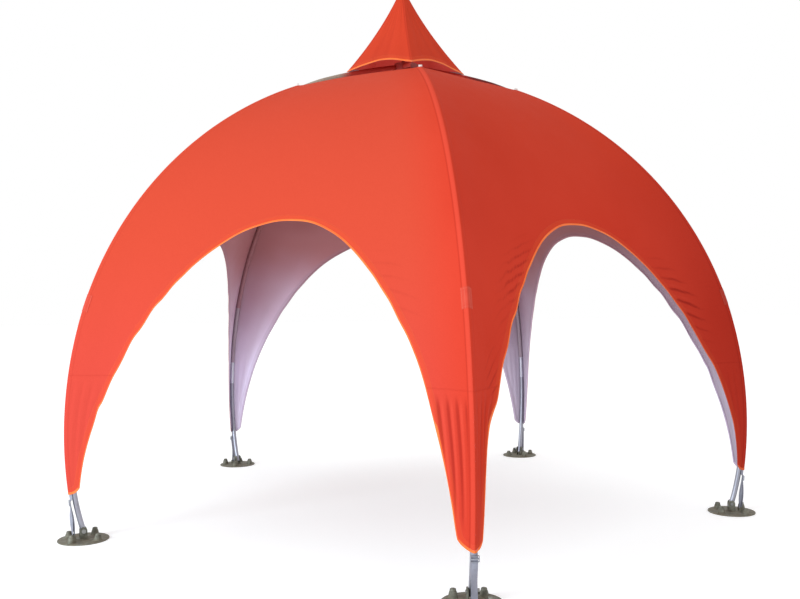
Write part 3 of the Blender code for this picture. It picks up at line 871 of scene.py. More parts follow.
def line_at(wire, place, core, edge):
    """A line where a wire comes close to a number, full up to the core and gone past the edge."""
    return 1.0 - abs(wire - place).rise(core, edge)


def stitch_line(u, v, place, width, pitch):
    """A dashed line at a distance v from the edge."""
    dash = (u * (2.0 * math.pi / pitch)).sine().rise(-0.5, 0.0)
    return line_at(v, place, width * 0.4, width) * dash


def hem_band(from_edge):
    """The band of double cloth along the arch's edge."""
    return 1.0 - from_edge.rise(0.036, 0.046)


print("threads every", THREAD_PITCH, "m")

# %% Outer cloth
STITCH_PLACE = 0.043
GROOVE_PLACE = 0.037
CROSS_SEAM_HEIGHT = 1.165

outer = Finish("red_cloth", (0.53, 0.040, 0.020), 0.66, specular=0.02)
lateral, upward = outer.cloth_map("cloth")
edge_u, edge_v = outer.cloth_map("edge")
pleat, crease = outer.cloth_map("folds")
beside_seam = outer.cloth_map("seam")[0]
sideways, height_above = outer.at(0), outer.at(2)

# Painted lamp light: on the -X side, towards the lamp, the cloth is painted paler and pinker, most low down
# and less on the cap.
painted_lamp_light = (1.0 - sideways.rise(-0.30, 0.06)) * (1.0 - height_above.rise(3.4, 3.7) * 0.8)
pale = outer.mix(height_above.rise(0.8, 2.3), (0.55, 0.058, 0.041), (0.525, 0.059, 0.030))
hem = hem_band(edge_v)
thread = stitch_line(edge_u, edge_v, STITCH_PLACE, 0.0016, 0.0045)
patchy = outer.noise(3.0, 3.0).rise(0.2, 0.55)
# Painted shade in the valleys of the pleats and creases, and a painted highlight on their crests.
painted_fold_shade = (-pleat).rise(0.0, 0.95) * 0.55 + (-crease).rise(0.05, 0.75) * patchy * 0.75
painted_crest_highlight = pleat.rise(0.2, 1.0) * 0.30 + crease.rise(0.2, 0.9) * 0.25
last_side = lateral.rise(0.9, 1.1)
pocket = 1.0 - beside_seam.rise(0.026, 0.036)
# A painted highlight on the cloth over the pole's pocket, on the panel's last side and away from the +X side.
painted_pocket_highlight = pocket * last_side * (1.0 - sideways.rise(1.0, 1.5))
groove = line_at(beside_seam, GROOVE_PLACE, 0.001, 0.007)
cross_seam = line_at(height_above, CROSS_SEAM_HEIGHT, 0.002, 0.008)
tone = outer.coats(
    (0.500, 0.034, 0.016),
    (outer.noise(0.9, 3.0).rise(0.25, 0.75), (0.545, 0.042, 0.021)),
    (height_above.rise(1.9, 3.9) * 0.75, (0.52, 0.047, 0.018)),
    # painted lamp light on the side towards the lamp
    (painted_lamp_light * 0.9, pale),
    (outer.noise(140.0).rise(0.3, 0.7) * 0.08, (0.36, 0.02, 0.010)),
    # painted highlight along the turned hem, where it catches the light
    (hem * 0.3, (0.62, 0.070, 0.024)),
    (thread * 0.6, (0.62, 0.11, 0.045)),
    # painted shade in fold valleys, then painted highlight on fold crests
    (painted_fold_shade, (0.25, 0.012, 0.008)),
    (painted_crest_highlight, (0.66, 0.075, 0.045)),
    # painted highlight over the pole's pocket
    (painted_pocket_highlight * 0.30, (0.66, 0.080, 0.050)),
    # painted shade in the stitched groove beside the seam, stronger on the panel's last side
    (groove * (last_side * 0.25 + 0.08), (0.27, 0.013, 0.008)),
    (cross_seam * 0.13, (0.30, 0.014, 0.008)),
)
# The red cloth gets painted shade on the +X side, away from the lamp.
outer.dress(
    outer.painted_side_shade(tone, 1.2, 2.9, (0.64, 0.56, 0.64)),
    0.58 + outer.noise(9.0, 3.0) * 0.12,
    (outer.noise(14.0, 4.0, 0.6), 0.0012),
    weave(lateral, upward),
    (hem - thread * 0.5, 0.0008),
    (1.0 - groove, 0.0006),
    (1.0 - cross_seam, 0.0006),
)
print("outer cloth", outer.material.name)

# %% Inner cloth
inner = Finish("lilac_lining", (0.56, 0.46, 0.62), 0.6, specular=0.2)
from_edge = inner.cloth_map("edge")[1]
inner_hem = hem_band(from_edge)
# Painted light on the lining: pale lilac low down where the ground lights it, palest near the arch's edge,
# and darker and redder towards the top as a painted red glow and shade.
lift = inner.at(2) + (inner.noise(0.8, 3.0).rise(0.25, 0.75) - 0.5) * 0.35
painted_edge_light = (1.0 - from_edge.rise(0.04, 0.42)) * (1.0 - lift.rise(1.5, 2.15))
lining = inner.coats(
    (0.86, 0.76, 0.96),
    (lift.rise(0.75, 1.6), (0.56, 0.38, 0.50)),
    (lift.rise(1.3, 2.3), (0.40, 0.155, 0.165)),
    (painted_edge_light * 0.22, (0.80, 0.73, 0.92)),
    (lift.rise(2.3, 3.0), (0.22, 0.045, 0.035)),
    (inner_hem * 0.2, (0.30, 0.20, 0.28)),
)
# The lining gets painted shade on the +X side, away from the lamp.
inner.dress(
    inner.painted_side_shade(lining, 0.3, 2.1, (0.61, 0.59, 0.57)),
    0.5 + inner.noise(11.0, 3.0) * 0.15,
    (inner.noise(14.0, 4.0, 0.6), 0.0012),
    weave(*inner.cloth_map("cloth")),
    (inner_hem, 0.0008),
)
print("inner cloth", inner.material.name)

# %% [markdown]
# ## Sew the panels
# Solidify gives the sheet its thickness inwards and puts the second material on the inside, so one piece
# has the red outside and the lilac lining. Each panel stands for its plain solid in the frame, which is
# hidden.

# %% Make the five panels
CLOTH = 0.002
panels = []
for number, (points, maps) in enumerate(panel_data, start=1):
    panel = lofted("sewn_panel_%d" % number, points, maps)
    thicken(panel, lambda centres: centres * (1.0, 1.0, 0.3), (outer, inner), CLOTH)
    panel.data.transform(onto_rib(number, between=True))
    settle(panel, ["canopy_panel_%d" % number])
    panels.append(panel)

# %% [markdown]
# ## Edge tape
# A bright orange tape is folded over the raw edge of the cloth along every arch and round the tips of the
# tongues. It is a flat closed tube that follows the panel's own edge, so it is swept from the panel's
# points: the edge's direction, the cloth's normal and the way up the cloth give a small frame at every
# station.


# %% Sweep helper
def unit(vectors):
    return vectors / (np.linalg.norm(vectors, axis=-1, keepdims=True) + 1e-12)


def swept(name, centres, first, second, profile):
    """A closed tube with capped ends: profile points are (first, second) offsets round each centre."""
    loop = np.vstack([profile, profile[:1]])
    walls = centres[:, None] + loop[:, :1] * first[:, None] + loop[:, 1:] * second[:, None]
    middle = walls[:, :-1].mean(axis=1)
    start_cap, end_cap = (np.repeat(middle[end, None, None], len(loop), axis=1) for end in (0, -1))
    length = lengths(middle)
    run = strip_map(lengths(loop), np.concatenate([[0.0], length, length[-1:]]))
    tube = lofted(name, np.concatenate([start_cap, walls, end_cap]), {"run": run}, merge=0.00002)
    with edit_mode("SELECT"):
        bpy.ops.mesh.normals_make_consistent(inside=False)
    return tube


def edge_frames(points, outward):
    """Points of a sheet's edge, with the direction up into the cloth and the outward normal."""
    normal = grid_normals(points, outward)[0]
    inward = unit(np.cross(normal, unit(np.gradient(points[0], axis=0))))
    inward *= np.sign(np.sum(inward * (points[4] - points[0]), -1, keepdims=True))
    return points[0], inward, normal


TAPE = np.array((
    (0.0145, 0.0009), (0.0100, 0.0014), (0.0045, 0.0015), (0.0000, 0.0011), (-0.0016, -0.0001),
    (-0.0016, -0.0020), (0.0000, -0.0032), (0.0045, -0.0036), (0.0100, -0.0035), (0.0145, -0.0030),
))
print("tape is", round(float(TAPE[0, 0] - TAPE[4, 0]), 4), "m wide on each face")

# %% [markdown]
# The tape's finish is a ribbed weave in bright orange with a line of darker stitches near its inner border.
# The half of it that lies on the lining is coloured like the lining, with the same painted light: pale lilac
# low down and a darker mauve painted shade high up.

# %% Tape finish
TAPE_RIB = 0.0022
TAPE_FOLD = 0.0168

tape = Finish("orange_tape", (0.80, 0.15, 0.03), 0.6, specular=0.2)
girth, run = tape.cloth_map("run")
tape_stitch = stitch_line(run, girth, 0.004, 0.0012, 0.004)
face_tone = tape.coats(
    (0.78, 0.125, 0.022),
    (tape.noise(6.0, 3.0).rise(0.3, 0.7), (0.84, 0.18, 0.035)),
    (tape_stitch * 0.7, (0.60, 0.06, 0.02)),
)
# Painted light on the inside half: pale lilac low down, painted mauve shade high up.
inside_tone = tape.mix(tape.at(2).rise(0.9, 2.3), (0.56, 0.45, 0.60), (0.34, 0.16, 0.18))
inside_tone = tape.mix(girth.rise(0.0195, 0.0225), (0.26, 0.13, 0.17), inside_tone)
# The tape's outer face gets painted shade on the +X side, away from the lamp.
face_tone = tape.painted_side_shade(face_tone, 1.2, 2.9, (0.66, 0.50, 0.75))
tape.dress(
    tape.mix(girth.rise(TAPE_FOLD, TAPE_FOLD + 0.0014), face_tone, inside_tone),
    0.55 + tape.noise(30.0) * 0.1,
    ((run * (2.0 * math.pi / TAPE_RIB)).sine() * 0.5 + 0.5, 0.00015),
    (1.0 - tape_stitch, 0.0003),
)
print("tape finish", tape.material.name)


# %% Tape along the arches
def bind(name, points, outward, move):
    """Orange tape over the first row of a sheet's points."""
    binding = swept(name, *edge_frames(points, outward), TAPE)
    cover(binding, tape, 50.0)
    binding.data.transform(move)
    settle(binding)
    return binding


tapes = []
for number, (points, maps) in enumerate(panel_data, start=1):
    move = onto_rib(number, between=True)
    tapes.append(bind("edge_tape_%d" % number, points, np.array([1.0, 0.0, 0.3]), move))
print("tape of", triangles(tapes[0]), "triangles on each arch")

for number, panel in enumerate(panels, start=1):
    "arch_pole_%d" % number
    "arch_pole_%d" % (number % RIBS + 1)
    float(panel_areas[number - 1])
    tapes[number - 1]

# %% [markdown]
# ## Reinforcement patches
# A little above eye height each seam carries a small patch of doubled cloth, sewn round the ridge where the
# sleeve inside begins. It is a small sheet laid on the panel's own shape a millimetre further out.

# %% Patch round each seam
PATCH_LOW = float(distance_at_height(1.615))
PATCH_HIGH = float(distance_at_height(1.735))
PATCH_TALL = PATCH_HIGH - PATCH_LOW
PATCH_HALF_WIDTH = 0.032
PATCH_LIFT = 0.0018
PATCH_CLOTH = 0.0015


def ridge_depth(across, distance):
    """How far the cloth falls back from the rib line at a distance to the seam's side."""
    lean = rib(distance)[2]
    bend = 4.0 * sag_share(distance)
    flat = np.abs(across) / (1.0 - bend * math.tan(HALF) * np.cos(lean))
    slope = math.tan(HALF) * np.cos(lean) + bend
    fold = np.sqrt((slope * flat) ** 2 + RIDGE_ROUNDING ** 2) - RIDGE_ROUNDING
    nose = NOSE_DEPTH * (1.0 - bell(flat, 0.0, NOSE_WIDTH))
    return fold + nose + tuck(flat / math.cos(HALF), 0.0, distance)


def over_ridge(across, distance, lift):
    """Points over the seam of the rib along +X, lifted out from the cloth."""
    centre = rib_frame(distance, ridge_depth(across, distance) - lift)[0]
    centre[..., 1] = across
    return centre


patch_rows = np.linspace(PATCH_LOW, PATCH_HIGH, 15)
patch_columns = np.linspace(-PATCH_HALF_WIDTH, PATCH_HALF_WIDTH, 25)
across_patch, up_patch = np.meshgrid(patch_columns, patch_rows)
patch_points = over_ridge(across_patch, up_patch, PATCH_LIFT)
patch_map = np.stack([across_patch, up_patch - PATCH_LOW], -1)

# %% Patch finish
STITCH_INSET = 0.010

patch_cloth = Finish("patch_cloth", (0.52, 0.050, 0.030), 0.6, specular=0.08)
patch_u, patch_v = patch_cloth.cloth_map("patch")
threads = stitch_line(patch_v, abs(patch_u), 0.028, 0.0020, 0.006)
threads = threads + stitch_line(patch_v, abs(patch_u), 0.014, 0.0020, 0.006)
for place in (STITCH_INSET, PATCH_TALL - STITCH_INSET):
    threads = threads + stitch_line(patch_u, patch_v, place, 0.0016, 0.006)
patch_tone = patch_cloth.coats(
    (0.51, 0.048, 0.028),
    (patch_cloth.noise(20.0).rise(0.3, 0.7), (0.54, 0.058, 0.034)),
    (threads * 0.7, (0.62, 0.12, 0.08)),
)
# The patch gets painted shade on the +X side, away from the lamp.
patch_cloth.dress(
    patch_cloth.painted_side_shade(patch_tone, 1.2, 2.9, (0.56, 0.46, 0.50)),
    0.55 + patch_cloth.noise(40.0) * 0.1,
    (patch_cloth.noise(30.0, 3.0), 0.0012),
    weave(patch_u, patch_v),
    (threads, 0.0006),
)

patch = lofted("seam_patch", patch_points, {"patch": patch_map})
thicken(patch, lambda centres: centres * (1.0, 0.0, 0.0), (patch_cloth,), PATCH_CLOTH)
patches = round_the_tent(patch)

# %% [markdown]
# ## Sleeves
# From the patch upwards each pole runs in a sleeve of cloth sewn to the inside of the seam. It is seen from
# below as a dark band, and its dark mauve tone is painted shade, darker and redder higher up. Its section is
# an arc round the pole with a flat wing on each side that lies on the lining, swept along the rib.

# %% Sleeve round each pole
SLEEVE_START = PATCH_LOW + 0.02
SLEEVE_END = TOP - 0.012
SLEEVE_RADIUS = 0.0215
SLEEVE_CLOTH = 0.0012
SLEEVE_GIRTH = 0.13
WING = np.array([0.041, 0.035, 0.029])
sleeve_stations = np.linspace(SLEEVE_START, SLEEVE_END, 90)
sleeve_angles = np.radians(np.linspace(-112.0, 112.0, 17))


def sleeve_row(distance):
    """The sleeve's inner side at one station, from one wing round the pole to the other."""
    arc_depth = float(pole_depth(distance)) + SLEEVE_RADIUS * np.cos(sleeve_angles)
    wing_depth = ridge_depth(WING, np.full(3, distance)) + CLOTH + 0.0006
    across = np.concatenate([-WING, SLEEVE_RADIUS * np.sin(sleeve_angles), WING[::-1]])
    depth = np.concatenate([wing_depth, arc_depth, wing_depth[::-1]])
    row = rib_frame(np.full(across.shape, distance), depth)[0]
    row[:, 1] = across
    return row


sleeve_points = np.array([sleeve_row(distance) for distance in sleeve_stations])
sleeve_map = strip_map(np.linspace(0.0, SLEEVE_GIRTH, sleeve_points.shape[1]), sleeve_stations)
sleeve_area = float(sheet_area(sleeve_points))

# %% Sleeve finish
# The sleeve's dark mauve is painted shade, darker and redder higher up.
sleeve_cloth = Finish("sleeve_cloth", (0.36, 0.17, 0.19), 0.65, specular=0.1)
sleeve_cloth.dress(
    sleeve_cloth.coats(
        (0.38, 0.21, 0.25),
        (sleeve_cloth.at(2).rise(1.5, 2.6), (0.32, 0.12, 0.12)),
        (sleeve_cloth.noise(12.0, 3.0) * 0.25, (0.22, 0.08, 0.09)),
    ),
    0.6 + sleeve_cloth.noise(35.0) * 0.1,
    (sleeve_cloth.noise(22.0, 4.0), 0.0015),
    weave(*sleeve_cloth.cloth_map("run")),
)
sleeve = lofted("pole_sleeve", sleeve_points, {"run": sleeve_map})
thicken(sleeve, lambda centres: -centres, (sleeve_cloth,), SLEEVE_CLOTH, offset=0.0)
sleeves = round_the_tent(sleeve)

# %% [markdown]
# ## The cap
# A pointed cap stands on a short mast and hides the vent. It is a five-sided cone whose sides hollow in,
# flare out at the hem and are cut in shallow scallops, with orange tape along the hem. It comes from one
# grid wrapped round the axis: the columns go round, the rows go down.

# %% Shape of the cap
CAP_TIP_HEIGHT = 4.29
CAP_CORNER_RADIUS = 0.505
CAP_FLARE = 0.31
CAP_SCALLOP = 0.065
CAP_CLEARANCE = 0.0045
CAP_ROUND_TIP = 0.3
CAP_FOLD_DEPTH = 0.004
corner_height = float(pole_point(distance_at_radius(CAP_CORNER_RADIUS))[0][2])
CAP_DROP = CAP_TIP_HEIGHT - (corner_height + POLE_RADIUS + CAP_CLEARANCE)


def cap_radius(drop):
    """The cap's radius at a corner, which flares out towards the hem."""
    down = drop / CAP_DROP
    return CAP_CORNER_RADIUS * ((1.0 - CAP_FLARE) * down + CAP_FLARE * down * down)


def cap_surface(columns, rows):
    """Points and maps of the cap, with the angle round the axis in columns and the way down in rows."""
    angle = np.linspace(0.0, 2.0 * math.pi, columns + 1)[None, :]
    down = np.linspace(0.0, 1.0, rows + 1)[:, None] ** 0.9
    from_middle = np.mod(angle, SECTOR) - HALF
    toward_corner = np.abs(from_middle) / HALF
    edge_drop = CAP_DROP - CAP_SCALLOP * (1.0 - toward_corner ** 2)
    drop = edge_drop * down
    flatness = np.minimum(1.0, drop / CAP_ROUND_TIP)
    radius = cap_radius(drop) * (1.0 + (math.cos(HALF) / np.cos(from_middle) - 1.0) * flatness)
    fold = np.sin(3.0 * angle + 1.0) * np.sin(7.0 * angle + 0.4) + 0.5 * np.sin(15.0 * angle)
    fold = fold * (1.0 - toward_corner ** 4)
    radius = radius + CAP_FOLD_DEPTH * fold * ramp(down, 0.1, 0.5)
    gathers = 0.6 * np.sin(40.0 * angle + 3.0 * drop) * zone(down, 0.05, 0.2, 0.25, 0.8)
    gathers = 0.8 * (gathers + 0.5 * fold * ramp(down, 0.3, 0.8))
    round_it = np.broadcast_to(angle, drop.shape)
    return np.stack([radius * np.cos(angle), radius * np.sin(angle), CAP_TIP_HEIGHT - drop], -1), {
        "cloth": np.stack([round_it * 0.3, drop], -1),
        "edge": np.stack([round_it * 0.5, edge_drop - drop], -1),
        "seam": np.stack([0.030 + (HALF - np.abs(from_middle)) * radius, drop], -1),
        "folds": np.stack([gathers, np.zeros_like(gathers)], -1),
    }


cap_points, cap_maps = cap_surface(200, 60)
cap_area = sheet_area(cap_points)
print("cap drops", round(CAP_DROP, 3), "m and has", round(cap_area, 2), "square metres")

# %% [markdown]
# The cap's lining stays in the shade of the cap, so it is a deep red instead of the canopy's lilac.
# Daylight shines through the thin cloth from above, and a faint glow of the same red stands for it.

# %% Sew the cap
cap_lining = Finish("cap_lining", (0.26, 0.018, 0.014), 0.6, specular=0.2)
lining_tone = cap_lining.mix(
    cap_lining.noise(3.0, 3.0).rise(0.3, 0.7), (0.36, 0.028, 0.020), (0.43, 0.036, 0.026))
lining_bumps = (cap_lining.noise(14.0, 4.0), 0.0012), weave(*cap_lining.cloth_map("cloth"))
cap_lining.dress(lining_tone, 0.6, *lining_bumps)
cap_lining.feed("Emission Color", lining_tone)
cap_lining.feed("Emission Strength", 0.45)

cap = lofted("sewn_cap", cap_points, cap_maps, merge=0.0001)
thicken(cap, lambda centres: centres * (1.0, 1.0, 0.0), (outer, cap_lining), CLOTH)
cap.data.transform(onto_rib(1))
settle(cap, ["cap"])

hem_points = cap_points[::-1]
cap_tape = bind("cap_tape", hem_points, hem_points * (1.0, 1.0, 0.0) + (0.0, 0.0, 0.001), onto_rib(1))
print("cap of", triangles(cap), "triangles")

# %% [markdown]
# ## Bars
# The ribs are round tubes, joined end to end. On the lower one a riveted collar, which is brighter than the
# pole, covers the joint above it. Each bar is swept round and smooth along the pole line, and a map along
# its length lets the finish draw the fine lines that a tube mill leaves. The arch bars inside the lining
# carry painted shade and a painted reflection of the lilac lining. Under the cap the bars stand in the red
# light that comes through its cloth, so the finish of the upper bars has that light painted on there, and
# painted shade everywhere but on the side towards the lamp.


# %% Metal finishes
def drawn_metal(name, dark, light, roughness, metallic=1.0, specular=0.5, under_cap=False):
    """Metal with long fine lines along its run, a few cloudy spots and small scuffs; if asked, painted red
    light under the cap and painted shade away from the lamp.
    """
    metal = Finish(name, light, roughness, metallic, specular)
    around, length = metal.cloth_map("run")
    drawn = metal.node("ShaderNodeCombineXYZ", None, {0: around * 900.0, 1: length * 6.0, 2: 0.0})
    lines = metal.noise(1.0, vector=drawn)
    clouds = metal.noise(4.0, 4.0).rise(0.3, 0.75)
    scuff = metal.noise(60.0, 3.0).rise(0.62, 0.7)
    tone = metal.mix(lines * 0.5 + clouds * 0.5, dark, light)
    tone = metal.mix(scuff * 0.3, tone, tuple(0.6 * value for value in dark))
    if under_cap:
        from_axis = (metal.at(0) ** 2.0 + (metal.at(1) - FOOTPRINT_SHIFT) ** 2.0) ** 0.5
        # Painted shade, dark maroon, on all but the -X side towards the lamp, and painted red light under the
        # cap.
        tone = metal.coats(
            tone,
            (metal.at(0).rise(-0.45, -0.10), (0.14, 0.022, 0.020)),
            (1.0 - from_axis.rise(0.46, 0.60), (0.36, 0.026, 0.018)),
        )
    metal.dress(tone, roughness + lines * 0.12 + scuff * 0.15, (lines, 0.00006), (scuff, 0.0001))
    return metal


pole_metal = drawn_metal("pole_aluminium", (0.27, 0.27, 0.32), (0.42, 0.42, 0.48), 0.32)
# The arch bars lie inside the lining: their mauve tone is painted shade and a painted reflection of the lilac
# lining.
shade_metal = drawn_metal("shaded_aluminium", (0.34, 0.26, 0.31), (0.44, 0.36, 0.42), 0.5, metallic=0.2)
crown_metal = drawn_metal("crown_aluminium", (0.28, 0.21, 0.165), (0.38, 0.29, 0.23), 0.6, metallic=0.0,
                          specular=0.05, under_cap=True)
collar_metal = drawn_metal("collar_aluminium", (0.50, 0.50, 0.56), (0.62, 0.62, 0.70), 0.28)
print("metal finishes", pole_metal.material.name, collar_metal.material.name)


# %% Sweep the bars
BAR_EDGE = 0.0015
BAR_GAP = 0.0003


def bar(name, start, end, count, radius, metal, nodes=()):
    """A round bar along the pole line, with evenly spaced stations and a small rounded edge on each end."""
    inner_stations = np.linspace(start + BAR_EDGE, end - BAR_EDGE, count)
    distance = np.concatenate([[start], inner_stations, [end]])
    radii = np.full((count + 2, 1), radius)
    radii[[0, -1]] -= BAR_EDGE
    centres, out = pole_point(distance)
    sideways = np.broadcast_to(np.array([0.0, 1.0, 0.0]), out.shape)
    circle = np.radians(np.arange(24) * 15.0)
    profile = np.stack([np.cos(circle), np.sin(circle)], -1)
    piece = swept(name, centres, out * radii, sideways * radii, profile)
    cover(piece, metal, 40.0)
    round_the_tent(piece, nodes)


COLLAR_RADIUS = 0.0215
COLLAR_START = float(distance_at_height(0.84))
COLLAR_END = float(distance_at_height(1.06))
CROWN_JOINT = float(distance_at_height(2.44))
HUB_RADIUS = 0.075
HUB_GAP = 0.004
pole_line = pole_point(steps)[0]
past_joint = steps > CROWN_JOINT
CROWN_END = float(np.interp(-(HUB_RADIUS + HUB_GAP), -pole_line[past_joint, 0], steps[past_joint]))

bar("leg_bar", PIN - 0.027, COLLAR_START + 0.01, 24, POLE_RADIUS, pole_metal)
bar("collar", COLLAR_START, COLLAR_END, 10, COLLAR_RADIUS, collar_metal, ("leg_pole",))
bar("arch_bar", COLLAR_END + BAR_GAP, CROWN_JOINT, 40, POLE_RADIUS, shade_metal, ("arch_pole",))
bar("crown_bar", CROWN_JOINT + BAR_GAP, CROWN_END, 40, POLE_RADIUS, crown_metal, ("crown_pole",))

# %% [markdown]
# ## Hub and mast
# The five ribs meet in a round hub under the cap. The frame's hub and mast have the right shape, so they
# keep their mesh and get their finish here, as do the other metal parts that come ready made. Their finish
# reads the point in space, because a mesh from the frame has no map of its own. Hub and mast are painted
# reddish, like the ends of the bars beside them, for the red light under the cap.


# %% Finish for ready-made metal
def worn_metal(name, base, worn, dirt, roughness, metallic, cloud_scale=9.0):
    """Metal or paint with cloudy tone, fine grit and dirt that gathers near the ground."""
    metal = Finish(name, base, roughness, metallic)
    grit = metal.noise(220.0, 3.0).rise(0.35, 0.65)
    scratch = metal.noise(45.0, 5.0, 0.7).rise(0.58, 0.66)
    low = (1.0 - metal.at(2).rise(0.004, 0.05)) * metal.noise(25.0, 4.0).rise(0.35, 0.6)
    tone = metal.coats(
        base,
        (metal.noise(cloud_scale, 4.0).rise(0.3, 0.7), worn),
        (scratch * 0.35, tuple(1.5 * value for value in worn)),
        (low * 0.7, dirt),
    )
    metal.dress(tone, roughness + grit * 0.12 + low * 0.2, (grit, 0.00025), (1.0 - scratch, 0.0003))
    return metal


# Hub and mast are painted red for the red light under the cap.
hub_metal = worn_metal("hub_metal", (0.30, 0.026, 0.020), (0.37, 0.034, 0.026), (0.1, 0.1, 0.1), 0.55, 0.1)
plate_paint = worn_metal("plate_steel", (0.085, 0.080, 0.060), (0.21, 0.205, 0.165), (0.20, 0.17, 0.12),
                         0.55, 0.3, cloud_scale=30.0)
pin_metal = worn_metal("pin_steel", (0.24, 0.24, 0.24), (0.34, 0.34, 0.33), (0.2, 0.18, 0.14), 0.35, 0.9)
white_plastic = worn_metal("white_plastic", (0.66, 0.65, 0.63), (0.74, 0.73, 0.71), (0.5, 0.48, 0.45),
                           0.35, 0.0)

dressed = {"crown_hub": hub_metal, "cap_mast": hub_metal, "foot_pin": pin_metal, "toggle": white_plastic}
count = 0
for node in [item for item in bpy.data.objects if item.type == "MESH"]:
    for start, metal in dressed.items():
        if node.name.startswith(start):
            node.data.materials.clear()
            node.data.materials.append(metal.material)
            count += 1
print("ready-made parts dressed:", count)

# %% [markdown]
# ## Foot plates
# Each rib stands on a round steel plate. A fork in its middle holds the pole's pin, a bar between two lugs
# takes the strap, and four stakes go through short sockets, each driven to its own depth. The plate in the
# frame has sharp edges and thin sockets, so it is modelled again over it: turned parts start as cones and
# cylinders, the cheeks and lugs as cubes whose top edges are bevelled to a half circle. They are made round
# the origin and joined, because the plate is welded together.

# %% Helpers for the foot plate
PLATE_RADIUS = 0.175
PLATE_THICKNESS = 0.008
SUNK = 0.006
SMALL_BEVEL = 0.0008
foot_parts = []


def keep_part(part, width):
    """Give a part its small bevel and keep it for the plate."""
    bpy.ops.object.transform_apply(location=True, rotation=True, scale=True)
    apply_modifier(part, "BEVEL", width=width, segments=3, limit_method="ANGLE")
    foot_parts.append(part)


def turned(spot, low, high, radius, top_radius, width, sides=40):
    """A turned part between two heights."""
    part = add(bpy.ops.mesh.primitive_cone_add, vertices=sides, radius1=radius, radius2=top_radius,
               depth=high - low, location=(*spot, (low + high) / 2.0))
    keep_part(part, width)


def round_topped(spot, width, thickness, high):
    """An upright plate with its top rounded to a half circle."""
    low = PLATE_THICKNESS / 2.0
    part = add(bpy.ops.mesh.primitive_cube_add, size=1.0, location=(*spot, (low + high) / 2.0))
    part.scale = (width, thickness, high - low)
    bpy.ops.object.transform_apply(location=True, rotation=True, scale=True)
    with edit_mode():
        bpy.ops.mesh.select_mode(type="EDGE")
        bpy.ops.mesh.select_all(action="DESELECT")
    for edge in part.data.edges:
        first, second = (part.data.vertices[index].co for index in edge.vertices)
        edge.select = min(first.z, second.z) > high - 0.0005 and abs(first.x - second.x) < 0.0005
    with edit_mode():
        bpy.ops.mesh.bevel(offset=0.49 * width, segments=9, affect="EDGES")
    keep_part(part, SMALL_BEVEL)


turned((0.0, 0.0), 0.0, PLATE_THICKNESS, PLATE_RADIUS, PLATE_RADIUS, width=0.0022, sides=96)
turned((0.0, 0.0), SUNK, 0.0105, radius=0.052, top_radius=0.047, width=0.001)
print("dish faces", len(foot_parts[0].data.polygons))

# %% Fork, lugs, strap bar and stakes
STRAP_BAR_PLACE = 0.065
STRAP_BAR_HEIGHT = 0.032
STRAP_BAR_RADIUS = 0.005
STAKE_CIRCLE = 0.125
SOCKET_TOP = 0.044
DRIVEN = (0.0, 0.007, 0.002, 0.011)

for side in (-1.0, 1.0):
    round_topped((0.0, side * 0.024), width=0.050, thickness=0.006, high=0.092)
    round_topped((STRAP_BAR_PLACE, side * 0.0255), width=0.024, thickness=0.005, high=0.044)
strap_bar = add(bpy.ops.mesh.primitive_cylinder_add, vertices=24, radius=STRAP_BAR_RADIUS, depth=0.060,
                location=(STRAP_BAR_PLACE, 0.0, STRAP_BAR_HEIGHT), rotation=(math.pi / 2.0, 0.0, 0.0))
keep_part(strap_bar, SMALL_BEVEL)

for quarter, driven in enumerate(DRIVEN):
    angle = math.radians(45.0 + 90.0 * quarter)
    spot = (STAKE_CIRCLE * math.cos(angle), STAKE_CIRCLE * math.sin(angle))
    head = SOCKET_TOP - driven
    turned(spot, SUNK, head, radius=0.0290, top_radius=0.0215, width=0.0020)
    turned(spot, head - 0.002, head + 0.017, radius=0.0200, top_radius=0.0165, width=0.0045)
    weld = add(bpy.ops.mesh.primitive_torus_add, major_radius=0.0292, minor_radius=0.0032, major_segments=36,
               minor_segments=8, location=(*spot, PLATE_THICKNESS))
    keep_part(weld, 0.0002)
print("parts of a foot plate:", len(foot_parts))

foot = join(foot_parts, "foot_dish")
foot.data.transform(Matrix.Translation((FOOT_RADIUS, 0.0, 0.0)))
foot.data.materials.clear()
cover(foot, plate_paint, 35.0)
round_the_tent(foot, ("foot_plate",))

# %% [markdown]
# ## Straps
# A strap of grey webbing comes out of the tongue's tip, passes a flat buckle and goes round a bar on the
# foot plate, which keeps the canopy taut. The webbing follows the same path as the solid strap: round the
# bar, up in a straight line, then into the fold behind the tongue. Its tail runs back from the bar to the
# buckle, a little further in, so the strap is double from there down. Real webbing never hangs quite flat,
# so both runs are twisted a little between the bar and the buckle.

# %% Path of the strap
STRAP_WIDTH = 0.038
STRAP_THICKNESS = 0.0022
STRAP_TWIST = math.radians(26.0)
LAP_DEPTH = CLOTH + 0.0026
REACH = STRAP_BAR_RADIUS + 0.0003 + 0.0025
FOLD_START = -0.036
TAIL_SHARE = 0.90
LAP_TOP = 0.075
TAIL_INSET = np.array([0.0052, 0.0, 0.0])
strap_across = np.linspace(-STRAP_WIDTH / 2.0, STRAP_WIDTH / 2.0, 9)


def lap_point(up, across):
    """The strap's outer face behind the tongue, at a length above the tip."""
    return over_ridge(across, np.full(across.shape, TIP + up), -LAP_DEPTH)


def round_bar(degrees):
    """One row of the webbing where it goes round the bar."""
    row = np.zeros((9, 3))
    row[:, 0] = FOOT_RADIUS + STRAP_BAR_PLACE + REACH * math.cos(math.radians(degrees))
    row[:, 1] = strap_across
    row[:, 2] = STRAP_BAR_HEIGHT + REACH * math.sin(math.radians(degrees))
    return row


